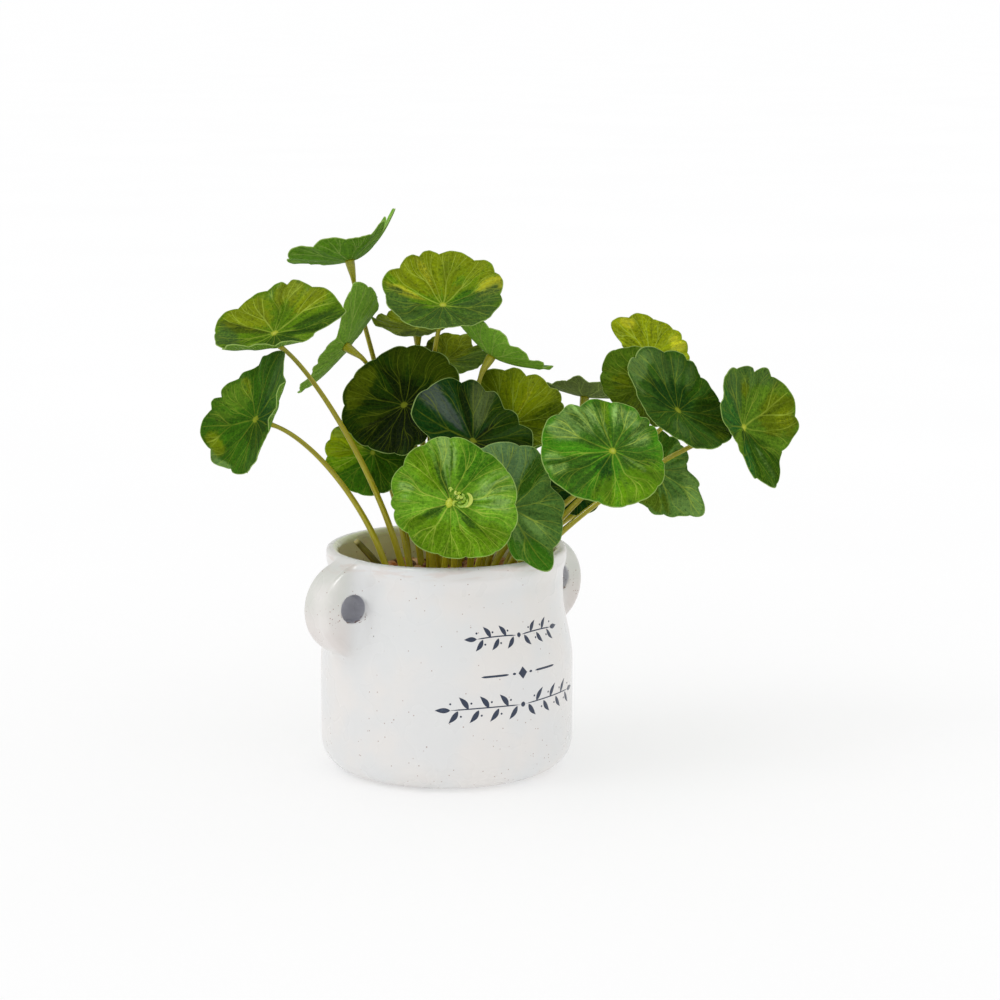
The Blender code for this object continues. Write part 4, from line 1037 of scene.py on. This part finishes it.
def leaf_skin():
    """Waxy leaf: the blade's own colours, veins that fork twice, a fine net, a pale edge and a yellow dot.

    Across a lobe, a vein keeps to its middle; from the share of the radius r0 a fork parts from it by
    FORK_SPREAD (1 - r0 / r), and from r1 a twig on each side of the fork by TWIG_SPREAD (1 - r1 / r).
    Patches of the strongest wash, fine mottles and rays break up the colours. Veins and dot are fainter
    where the leaf is dark.
    """
    skin = Finish("leaf_skin", {"Specular IOR Level": 0.02})
    flat, lobes = skin.chart("flat"), skin.chart("lobes")
    own, accent = skin.attribute("skin_tone"), skin.attribute("accent_tone")
    covered, under = skin.attribute("accent", 2), skin.attribute("underside", 2)
    lobe, reach, _ = skin.split(lobes)
    fork_at, twig_at, _ = skin.split(skin.chart("forks"))
    red, green, _ = skin.split(own)
    bright = skin.step(red + green, 0.02, 0.42)
    width = reach * SECTOR
    across = abs(lobe.fraction() - 0.5)
    past = (1 - fork_at / reach).over(0.0)
    later = (1 - twig_at / reach).over(0.0)
    early = (1 - (twig_at - 0.2) / reach).over(0.0)
    fork = past * FORK_SPREAD
    faint = skin.step(skin.noise(flat, 1.9, 3.0, 0.6), 0.30, 0.62)

    def line_at(where, wide=0.24, sharp=0.02):
        """A line that runs this share of a lobe's width away from its vein."""
        return skin.step(abs(across - where) * width, wide, sharp)

    main = skin.step(across * width, (1.2 - reach) * 0.34 + 0.10, 0.0)
    second = line_at(fork, 0.28, 0.03) * skin.step(past, 0.0, 0.02)
    twigs = line_at(fork + later * TWIG_SPREAD).over(line_at(fork - later * TWIG_SPREAD))
    twigs = twigs * skin.step(later, 0.0, 0.02)
    side = line_at(early * TWIG_SPREAD) * skin.step(early, 0.0, 0.02)
    between = line_at(0.5) * skin.step(reach, 0.10, 0.2)
    lines = main.over(second * 0.85).over(between * 0.22).over(twigs * 0.42).over(side * 0.32)
    lines = lines * skin.step(reach, 0.985, 0.93)
    drift = skin.noise(flat, 3.5, 2.0, 0.5, 1)
    shifted = {0: drift, 1: (0.16, 0.16, 0), 2: flat}
    crooked = skin.node("ShaderNodeVectorMath", {"operation": "MULTIPLY_ADD"}, shifted)
    net = skin.step(skin.cells(crooked, 4.0, "DISTANCE_TO_EDGE"), 0.07, 0.0)
    mesh = skin.step(skin.cells(crooked, 9.0, "DISTANCE_TO_EDGE"), 0.10, 0.0)
    fine = skin.noise(flat, 8.0, 5.0, 0.68)
    broad = skin.noise(flat, 4.5, 4.0, 0.6)
    ray = skin.noise(skin.stretch(lobes, (6.0, 1.1, 0.0)), 1.0, 4.0, 0.62)
    pale = skin.mix(bright, shade(112, 126, 26), shade(178, 200, 78))
    pale = skin.mix(under * 0.7, pale, shade(160, 186, 100))
    lighter = skin.stretch(own, (1.85, 1.65, 1.5))
    patch = skin.step(covered + (fine - 0.5) * 1.6 + (broad - 0.5) * 0.9 + (ray - 0.5) * 1.3, 0.40, 0.78)
    # The accent patches carry painted highlights where the strongest wash is a sheen.
    colour = skin.layers(
        own,
        (patch * covered * 0.72, accent),
        (skin.step(ray, 0.54, 0.70) * 0.34, lighter),
        (skin.step(ray, 0.46, 0.28) * 0.46, shade(10, 32, 2)),
        (skin.step(broad, 0.42, 0.24) * 0.35, shade(12, 40, 4)),
        (skin.step(fine, 0.51, 0.66) * 0.72, lighter),
        (skin.step(fine, 0.48, 0.30) * 0.58, shade(8, 28, 1)),
        ((net * 0.30 + mesh * 0.16) * (bright * 0.3 + 0.6), skin.mix(0.4, lighter, pale)),
        (lines * (faint * 0.34 + bright * 0.22 + 0.20), pale),
        (skin.step(reach, 0.984, 0.994) * 0.6, shade(172, 198, 112)),
        (skin.step(reach, 0.066, 0.046) * (bright * 0.6 + 0.34), shade(178, 186, 50)),
        (skin.step(reach, 0.042, 0.015) * bright * 0.5, shade(218, 216, 118)),
    )
    skin.feed("Base Color", colour)
    skin.feed("Roughness", fine * 0.22 + 0.34 + under * 0.14)
    skin.relief(lines * (under * 1.2 - 0.45) + net * -0.12 + fine * 0.3, 0.0003, 0.55)
    return skin.material


def blade_mesh(number, leaf):
    """Both faces of a blade, joined round its edge, with their maps and the place of each point.

    The flesh between the veins rises by SWELL free (1 - exp(-(d / SWELL_WIDTH)^2)), with d the way to the
    nearest vein, and by PLEAT free (noise - 1/2) in rays, both less towards the edge.
    """
    columns = leaf.lobes * LOBE_STEPS
    rows = np.linspace(0, 1, BLADE_ROWS + 1)[1:] ** 0.9
    turn, reach = np.meshgrid(np.arange(columns) * TAU / columns, rows, indexing="xy")
    middle, free, direction = blade_points(number, leaf, reach, turn)
    chance = np.random.default_rng(number + 300)
    forks = np.stack([chance.uniform(*limits, leaf.lobes * 2) for limits in (FORK_AT, TWIG_AT)], axis=1)
    half_lobe = np.arange(columns) // (LOBE_STEPS // 2)
    lobe = turn * leaf.lobes / TAU
    across = np.abs(lobe % 1 - 0.5)
    fork = FORK_SPREAD * np.clip(1 - forks[half_lobe, 0] / reach, 0, None)
    from_vein = np.minimum(across, np.abs(across - fork)) * reach * SECTOR
    flesh = SWELL * np.minimum(free, 1) * (1 - np.exp(-((from_vein / SWELL_WIDTH) ** 2)))
    rays = np.stack([np.cos(direction) * 3.4, np.sin(direction) * 3.4, reach * 0.9], axis=-1) + 50 + number
    flesh = flesh + PLEAT * np.minimum(free, 1) * (cloud(rays, 1.0, number + 40) - 0.5)
    flesh = flesh * (1 - 0.4 * smooth_step((reach - 0.85) / 0.15))
    middle[..., 2] += flesh
    normal = sheet_normals(middle)
    half = (BLADE_T_MIDDLE + (BLADE_T_EDGE - BLADE_T_MIDDLE) * reach**2)[..., None] / 2
    top = np.concatenate([[(0, 0, BLADE_T_MIDDLE / 2)], (middle + normal * half).reshape(-1, 3)])
    low = np.concatenate([[(0, 0, -BLADE_T_MIDDLE / 2)], (middle - normal * half).reshape(-1, 3)])
    under = len(top)
    row, k = np.meshgrid(np.arange(BLADE_ROWS - 1), np.arange(columns), indexing="ij")
    a, b = 1 + row * columns + k, 1 + row * columns + (k + 1) % columns
    quads = np.stack([a, a + columns, b + columns, b], axis=-1).reshape(-1, 4)
    k = np.arange(columns)
    fan = np.stack([np.zeros(columns, int), 1 + k, 1 + (k + 1) % columns], axis=1)
    last = 1 + (BLADE_ROWS - 1) * columns
    a, b = last + k, last + (k + 1) % columns
    rim = np.stack([a, a + under, b + under, b], axis=1)
    faces = [quads, quads[:, ::-1] + under, rim, fan, fan[:, ::-1] + under]
    column_of = np.tile(k, BLADE_ROWS - 1)
    face_column = [column_of, column_of, k, k, k]
    lobe_of = np.concatenate([[0], lobe.ravel()])
    reach_of = np.concatenate([[0], reach.ravel()])
    flat_of = np.concatenate([[(0, 0)], middle[..., :2].reshape(-1, 2)])
    maps = {"lobes": [], "flat": [], "forks": []}
    for f, column in zip(faces, face_column):
        corner = f % under
        share = lobe_of[corner]
        share = share + (column[:, None] == columns - 1) * (share < leaf.lobes / 2) * leaf.lobes
        share = np.where(corner == 0, (column[:, None] + 0.5) / LOBE_STEPS, share)
        maps["lobes"].append(np.stack([share, reach_of[corner]], axis=-1).reshape(-1, 2))
        maps["flat"].append((flat_of[corner] / 10 + number * 10).reshape(-1, 2))
        maps["forks"].append(np.repeat(forks[half_lobe[column]], f.shape[1], axis=0))
    maps = {label: np.concatenate(parts) for label, parts in maps.items()}
    return np.concatenate([top, low]), faces, maps, flat_of, reach_of


def blade_tones(number, flat, reach):
    """Colour of each point: washes laid over the ground colour, their edges drawn out by noise and rays.

    With d the distance from a wash's place, in its own half-sizes of direction and reach, plus noise, a
    wash covers by a smooth step of 1.6 (1.3 - d), and a sheen, a painted highlight, only in rays. The accent
    is the wash that covers a point most. All tones are then made lighter or darker by noise and by the
    blade's lightness, which holds painted light and shade as well as the blade's own tone.
    """
    ground, back, washes = WASHES[number]
    place = np.column_stack([flat, np.zeros(len(flat))]) + 100 + number * 7
    angle = np.arctan2(flat[:, 1], flat[:, 0])
    circle = np.stack([np.cos(angle), np.sin(angle)], axis=1)
    rays = np.column_stack([circle * 8, reach * 1.6]) + 40 + number
    mottle = 0.45 * cloud(place, 6.5, 21) + 0.3 * cloud(place, 2.6, 22) + 0.25 * cloud(place, 1.3, 23)
    streak = 0.6 * cloud(rays, 1.0, 24) + 0.4 * cloud(rays * (2, 2, 1), 1.0, 25)
    ray = cloud(np.column_stack([circle * 22, reach * 2.5]) + 70 + number, 1.0, 26)
    tone = np.tile(LEAF_TONES[ground], (len(flat), 1))
    accent, accent_tone = np.zeros(len(flat)), tone
    for name, direction, out, wide, deep in washes:
        turn = (np.degrees(angle) - direction + 180) % 360 - 180
        away = np.hypot(turn / wide, (reach - out) / deep)
        away = away + 0.9 * (mottle - 0.5) + 1.1 * (streak - 0.5)
        cover = smooth_step(1.6 * (1.3 - away))
        # A sheen wash is a painted highlight, laid only in rays.
        if name == "sheen":
            cover = cover * smooth_step(2.4 * (ray - 0.22)) * 0.8
        accent_tone = np.where((cover > accent)[:, None], LEAF_TONES[name], accent_tone)
        accent = np.maximum(accent * (1 - 0.5 * cover), cover)
        cover = cover[:, None] * 0.62
        tone = tone * (1 - cover) + np.array(LEAF_TONES[name]) * cover
    depth = 1 + 0.7 * (streak - 0.5) * smooth_step(reach * 3) + 0.5 * (mottle - 0.5)
    tone[:, :3] *= depth[:, None] ** 1.25
    # The blade's lightness is partly its own tone and partly painted light and shade.
    light = TONE_AND_PAINTED_LIGHT.get(number, 1.0)
    accent_tone = accent_tone * light * np.clip(depth, 0.7, 1.4)[:, None]
    low = np.array(LEAF_TONES[back]) * (0.8 + 0.4 * mottle[:, None]) * (0.85 + 0.3 * streak[:, None])
    tone[:, :3] *= light
    low[:, :3] *= light
    low[:, 3] = 1
    accent_tone[:, 3] = 1
    return {
        "skin_tone": np.clip(np.concatenate([tone, low]), 0, 1),
        "accent_tone": np.clip(np.concatenate([accent_tone, low]), 0, 1),
        "accent": np.concatenate([accent, accent * 0]),
        "underside": np.repeat([0.0, 1.0], len(flat)),
    }


skin = leaf_skin()
for number, leaf in enumerate(LEAVES, 1):
    points, faces, maps, flat, reach = blade_mesh(number - 1, leaf)
    piece(
        f"pennywort_blade_{number:02d}", on_blade(leaf, points), faces, skin, [f"blade_{number:02d}"],
        maps=maps, tints=blade_tones(number, flat, reach),
    )

# The stalks: fleshy and glossy, yellow-olive, rising from the pebbles in a slow curve and widening just
# under the blade that each carries at its middle.

STALK_SIDES = 14
STALK_STEPS = 44
FLARE_STEPS = 9
STALK_TIP_R = 0.92
STALK_SLIM = 0.92
FIRST_HANDLE = 0.36
FLARE = 7.0
FLARE_GAP = 0.3
FLARE_R = 2.15
FLARE_LONG = 13.0
BURIED = 14.0
TIP_GAP = 0.02


def unit(vector):
    """The vectors at length 1."""
    return vector / np.linalg.norm(vector, axis=-1, keepdims=True)


def tube(points, radii, sides):
    """Rings about a path along t: p + r (cos a s + sin a t x s), with s the x direction square to t."""
    along = unit(np.gradient(points, axis=0))
    side = unit(np.array([1.0, 0.0, 0.0]) - along * along[:, :1])
    other = np.cross(along, side)
    turn = (np.arange(sides) * TAU / sides)[:, None]
    ring = np.cos(turn) * side[:, None] + np.sin(turn) * other[:, None]
    return points[:, None] + radii[:, None, None] * ring


def stalk_path(leaf):
    """A Bezier curve from the pebbles to the foot of the flare, a straight flare, and the buried stretch.

    Its radius tapers with t^0.8 to the tip's, and swells to FLARE_R over the last FLARE_LONG of the way.
    """
    normal = blade_axes(leaf)[2]
    root = np.array([*leaf.root, GRAVEL_Z])
    foot = np.array(leaf.at) - normal * (BLADE_T_MIDDLE / 2 + FLARE_GAP + FLARE)
    span = foot - root
    length = np.linalg.norm(span)
    sway = np.array([*leaf.sway, 0.0])
    first = root + unit(span * (leaf.lean, leaf.lean, 1)) * length * FIRST_HANDLE + sway
    second = foot - normal * leaf.neck * length + sway
    t = np.linspace(0, 1, STALK_STEPS)[:, None]
    curve = root * (1 - t) ** 3 + 3 * first * t * (1 - t) ** 2 + 3 * second * t**2 * (1 - t) + foot * t**3
    buried = root - unit(first - root) * np.linspace(BURIED, 0, 5)[:-1, None]
    s = np.linspace(0, 1, FLARE_STEPS + 1)[1:]
    flare = foot + normal * (s * (FLARE + FLARE_GAP - TIP_GAP))[:, None]
    path = np.concatenate([buried, curve, flare])
    taper = np.concatenate([np.zeros(4), t[:, 0] ** 0.8, np.ones(FLARE_STEPS)])
    steps = np.linalg.norm(np.diff(path, axis=0), axis=1)
    left = np.append(np.cumsum(steps[::-1])[::-1], 0)
    flared = smooth_step(1 - left / FLARE_LONG)
    radii = leaf.foot * STALK_SLIM + (STALK_TIP_R - leaf.foot * STALK_SLIM) * taper
    return path, radii + (FLARE_R - STALK_TIP_R) * flared**1.3


def stalk_flesh():
    """Glossy yellow-olive: greener above, in darker and paler streaks, with painted highlights along the
    palest, and painted light that makes the foot lighter and yellower.
    """
    flesh = Finish("stalk_flesh", {"Coat Weight": 0.2, "Coat Roughness": 0.1, "Specular IOR Level": 0.3})
    along_map = flesh.chart("along")
    streak = flesh.noise(flesh.stretch(along_map, (9.0, 2.5, 1.0)), 1.0, 4.0, 0.6)
    spots = flesh.noise(flesh.place(), 900.0, 3.0)
    _, along, _ = flesh.split(along_map)
    colour = flesh.layers(
        flesh.mix(flesh.step(streak, 0.35, 0.7), shade(140, 132, 4), shade(184, 176, 30)),
        # Painted highlights along the palest streaks.
        (flesh.step(streak, 0.66, 0.76) * 0.5, shade(214, 210, 112)),
        (flesh.step(along, 0.6, 1.0) * 0.35, shade(140, 150, 22)),
        (flesh.step(spots, 0.55, 0.8) * 0.35, shade(208, 204, 112)),
        # Painted light: the foot, shaded by the blades, is made lighter and yellower.
        (flesh.step(along, 0.34, 0.10) * 0.4, shade(196, 186, 40)),
    )
    flesh.feed("Base Color", colour)
    flesh.feed("Roughness", spots * 0.15 + 0.24)
    flesh.relief(streak, 0.0003, 0.5)
    return flesh.material


def stalk_maps(rows, sides, faces):
    """For each corner, its share of the way round (0 to 1) and along (0 to 1)."""
    corner = np.concatenate([f.ravel() for f in faces])
    last = rows * sides
    row = np.where(corner < last, corner // sides, np.where(corner == last, 0, rows - 1))
    k = np.where(corner < last, corner % sides, 0)
    quads = faces[0].size
    k = k.astype(float)
    ring = k[:quads].reshape(-1, 4)
    wrap = (ring.max(axis=1) - ring.min(axis=1) > sides / 2)[:, None] & (ring < sides / 2)
    k[:quads] = (ring + wrap * sides).ravel()
    return {"along": np.stack([k / sides, row / (rows - 1)], axis=1)}


flesh = stalk_flesh()
for number, leaf in enumerate(LEAVES, 1):
    path, radii = stalk_path(leaf)
    rings = tube(path, radii, STALK_SIDES)
    points, quads, ends = loft(rings)
    piece(
        f"pennywort_stalk_{number:02d}", in_crock(points), [quads, ends], flesh,
        [f"stalk_{number:02d}"], maps=stalk_maps(len(path), STALK_SIDES, [quads, ends]),
    )

# The cut stalk: a bare stub of an old leaf, snapped off above the pebbles, with a pale dry end.

STUB_R = 1.45

stub_root, stub_top = np.array(STUB_ROOT, float), np.array(STUB_TOP, float)
stub_start = stub_root - unit(stub_top - stub_root) * BURIED
s = np.linspace(0, 1, 26)
stub_path = stub_start + (stub_top - stub_start) * s[:, None]
stub_path[:, 2] += 0.5 * np.sin(np.pi * s)
stub_radii = STUB_R * (1 - 0.06 * np.sin(7 * s)) * np.where(s > 0.985, 0.9, 1)
stub_rings = tube(stub_path, stub_radii, STALK_SIDES)


def cut_flesh():
    """Dark olive flesh that dries to straw at the cut."""
    cut = Finish("cut_flesh", {"Specular IOR Level": 0.35})
    along_map = cut.chart("along")
    _, along, _ = cut.split(along_map)
    streak = cut.noise(cut.stretch(along_map, (8.0, 3.0, 1.0)), 1.0, 4.0, 0.6)
    colour = cut.mix(cut.step(streak, 0.35, 0.7), shade(78, 74, 16), shade(134, 128, 40))
    cut.feed("Base Color", cut.mix(cut.step(along, 0.93, 0.985), colour, shade(196, 184, 116)))
    cut.feed("Roughness", streak * 0.2 + 0.35)
    cut.relief(streak, 0.0003, 0.5)
    return cut.material


points, quads, ends = loft(stub_rings)
piece(
    "cut_stalk_stub", in_crock(points), [quads, ends], cut_flesh(), ["cut_stalk"],
    maps=stalk_maps(len(s), STALK_SIDES, [quads, ends]),
)

# The flower buds: one plump green bud over the middle of the front blade, with curled bracts and small buds
# beside it and a few frilled scales above, soft and pale.

BUD_BLADE = 8
BLADE_TOP = BLADE_T_MIDDLE / 2

bud_leaf = LEAVES[BUD_BLADE - 1]


def bud_body(middle, size, turn, steps=18, sides=16):
    """A plump bud: an egg of radius width sin(pi s)^0.75 (1.15 - 0.3 s), with four soft ribs."""
    s = np.linspace(0.004, 0.996, steps)
    along = np.array([math.cos(turn), math.sin(turn), 0.0])
    across = np.array([-along[1], along[0], 0.0])
    radius = size[0] * np.sin(np.pi * s) ** 0.75 * (1.15 - 0.3 * s)
    a = (np.arange(sides) * TAU / sides)[:, None]
    rib = 1 + 0.06 * np.cos(4 * a)
    ring = np.cos(a) * rib * across + np.sin(a) * rib * np.array([0, 0, 0.85])
    path = np.array(middle) + along * (s - 0.5)[:, None] * size[1]
    return loft(path[:, None] + radius[:, None, None] * ring)


def bract(middle, bend, width, start, end, steps=26, sides=14):
    """A curled scale: a band round an arc of radius bend, its outer edge raised, slim at both ends.

    Its half width is width sin(pi s)^0.6 and its thickness goes by sin(pi s), with s the share of the way.
    """
    s = np.linspace(0, 1, steps)
    a = np.radians(start + (end - start) * s)
    path = np.array(middle) + np.stack([bend * np.cos(a), bend * np.sin(a), 0.4 * np.sin(np.pi * s)], axis=1)
    out = np.stack([np.cos(a), np.sin(a), np.full(steps, 0.75)], axis=1)
    up = np.stack([-0.75 * np.cos(a), -0.75 * np.sin(a), np.ones(steps)], axis=1)
    half = width * np.clip(np.sin(np.pi * s), 0.02, 1) ** 0.6
    thick = np.clip(np.sin(np.pi * s), 0.1, 1)
    t = np.arange(sides) * TAU / sides
    ring = np.cos(t)[None, :, None] * out[:, None] * half[:, None, None]
    ring = ring + np.sin(t)[None, :, None] * up[:, None] * 0.32 * thick[:, None, None]
    return loft(path[:, None] + ring)


def bud_green():
    """Bright yellow-green, paler towards the rolled edges."""
    green = Finish("bud_green", {"Specular IOR Level": 0.3})
    place = green.place()
    own = green.attribute("bud_tone")
    fleck = green.noise(place, 1400.0, 4.0, 0.6)
    colour = green.mix(green.step(fleck, 0.45, 0.7) * 0.35, own, shade(216, 222, 120))
    green.feed("Base Color", green.mix(green.step(fleck, 0.45, 0.25) * 0.35, colour, shade(86, 120, 20)))
    green.feed("Roughness", fleck * 0.2 + 0.38)
    green.relief(fleck, 0.0002, 0.5)
    return green.material


bud_parts = [
    (bud_body((-0.6, -0.4, BLADE_TOP + 1.4), (1.45, 4.6), math.radians(80)), (184, 198, 48)),
    (bract((5.6, 0.9, BLADE_TOP + 1.9), 3.0, 0.85, -105, 70), (186, 204, 84)),
    (bract((4.7, 0.2, BLADE_TOP + 1.4), 2.2, 0.7, -150, 30), (136, 178, 44)),
    (bract((2.2, -0.8, BLADE_TOP + 0.9), 1.1, 0.5, 60, 250), (172, 196, 62)),
]
for k in range(7):
    way = math.radians(-60 + 47 * k)
    middle = (3.9 + 1.9 * math.cos(way * 1.4), 1.6 + 2.1 * math.sin(way), BLADE_TOP + 0.9 + 0.3 * (k % 2))
    tone = (112 + 16 * (k % 4), 160 + 10 * (k % 4), 36 + 10 * (k % 3))
    bud_parts.append((bud_body(middle, (0.72, 2.3), math.radians(60 * k), 12, 12), tone))
for k in range(6):
    way = math.radians(110 + 33 * k)
    x, y = 2.2 + 2.4 * math.cos(way * 1.6), 3.6 + 1.5 * math.sin(way)
    scale = bract((x, y, BLADE_TOP + 1.5 + 0.25 * (k % 3)), 0.75, 0.42, 50 * k, 50 * k + 170, 14, 10)
    bud_parts.append((scale, (166 + 14 * (k % 3), 198 + 5 * (k % 3), 70 + 14 * (k % 3))))
bud_points, bud_quads, bud_ends = join([part for part, _ in bud_parts])
bud_tones = np.concatenate([np.tile(shade(*tone), (len(part[0]), 1)) for part, tone in bud_parts])
piece(
    "bud_cluster", on_blade(bud_leaf, bud_points), [bud_quads, bud_ends], bud_green(),
    ["flower_buds"], tints={"bud_tone": bud_tones},
)

# The studio: a wide pale floor that glows a little, an even white sky, a soft key lamp high on the left, and
# a softbox above it that adds highlights alone.

FLOOR_REACH = 200000.0
CAMERA_TARGET = (23.5, 0.0, 117.9)
CAMERA_TURN = -37
CAMERA_RISE = 10.3
CAMERA_AWAY = 1250.0
FOCAL_PIXELS = 2860.0
IMAGE_WIDTH = 1000
SENSOR = 36.0
FLOOR_GREY = (0.600, 0.600, 0.602, 1.0)
FLOOR_PALE = (0.615, 0.615, 0.615, 1.0)
FLOOR_GLOW = 0.65
KEY_SIDE = (CAMERA_TURN - 66, 44)
SOFTBOX_SIDE = (CAMERA_TURN - 40, 62)
LAMP_AWAY = 1500.0
KEY_ENERGY = 0.27
KEY_SOFTNESS = 28
SOFTBOX_ENERGY = 14.0
SOFTBOX_SIZE = 0.7
SKY_STRENGTH = 0.93

floor_mesh = bpy.data.meshes.new("studio_floor")
far = FLOOR_REACH * MM
floor_mesh.from_pydata([(-far, -far, 0), (far, -far, 0), (far, far, 0), (-far, far, 0)], [], [(0, 1, 2, 3)])
floor = bpy.data.objects.new("studio_floor", floor_mesh)
bpy.context.scene.collection.objects.link(floor)
glow = {"Roughness": 0.9, "Specular IOR Level": 0.0, "Emission Strength": FLOOR_GLOW}
floor_paint = Finish("floor_paint", glow)
mottle = floor_paint.noise(floor_paint.place(), 3.0, 2.0)
floor_paint.feed("Base Color", floor_paint.mix(mottle, FLOOR_GREY, FLOOR_PALE))
floor_paint.feed("Emission Color", floor_paint.mix(mottle, FLOOR_GREY, FLOOR_PALE))
floor_mesh.materials.append(floor_paint.material)


def camera_frame(turn, rise):
    """Right, up and back directions of a viewer at this turn and rise in degrees."""
    turn, rise = math.radians(turn), math.radians(rise)
    back = np.array([math.sin(turn) * math.cos(rise), -math.cos(turn) * math.cos(rise), math.sin(rise)])
    right = np.array([math.cos(turn), math.sin(turn), 0.0])
    return right, np.cross(back, right), back


def aim(made, target, turn, rise, away):
    """Places a camera or lamp so that it looks at the target from this side."""
    right, up, back = camera_frame(turn, rise)
    made.location = (np.array(target) + back * away) * MM
    matrix = np.array([right, up, back]).T
    made.rotation_euler = Matrix(matrix.tolist()).to_euler()
    bpy.context.scene.collection.objects.link(made)


target = in_crock(CAMERA_TARGET)
camera = bpy.data.objects.new("camera", bpy.data.cameras.new("camera"))
camera.data.sensor_width = SENSOR
camera.data.lens = SENSOR * FOCAL_PIXELS / IMAGE_WIDTH
camera.data.clip_end = 1000
aim(camera, target, CAMERA_TURN, CAMERA_RISE, CAMERA_AWAY)
bpy.context.scene.camera = camera

sun = bpy.data.objects.new("key_lamp", bpy.data.lights.new("key_lamp", "SUN"))
sun.data.energy = KEY_ENERGY
sun.data.angle = math.radians(KEY_SOFTNESS)
aim(sun, target, *KEY_SIDE, LAMP_AWAY)
softbox = bpy.data.objects.new("softbox", bpy.data.lights.new("softbox", "AREA"))
softbox.data.energy = SOFTBOX_ENERGY
softbox.data.shape = "DISK"
softbox.data.size = SOFTBOX_SIZE
softbox.visible_diffuse = False
aim(softbox, target, *SOFTBOX_SIDE, LAMP_AWAY)

world = bpy.data.worlds.new("pale_studio")
world.use_nodes = True
world.node_tree.nodes["Background"].inputs["Color"].default_value = (1.0, 1.0, 1.0, 1.0)
world.node_tree.nodes["Background"].inputs["Strength"].default_value = SKY_STRENGTH
bpy.context.scene.world = world
bpy.context.scene.view_settings.view_transform = "Standard"
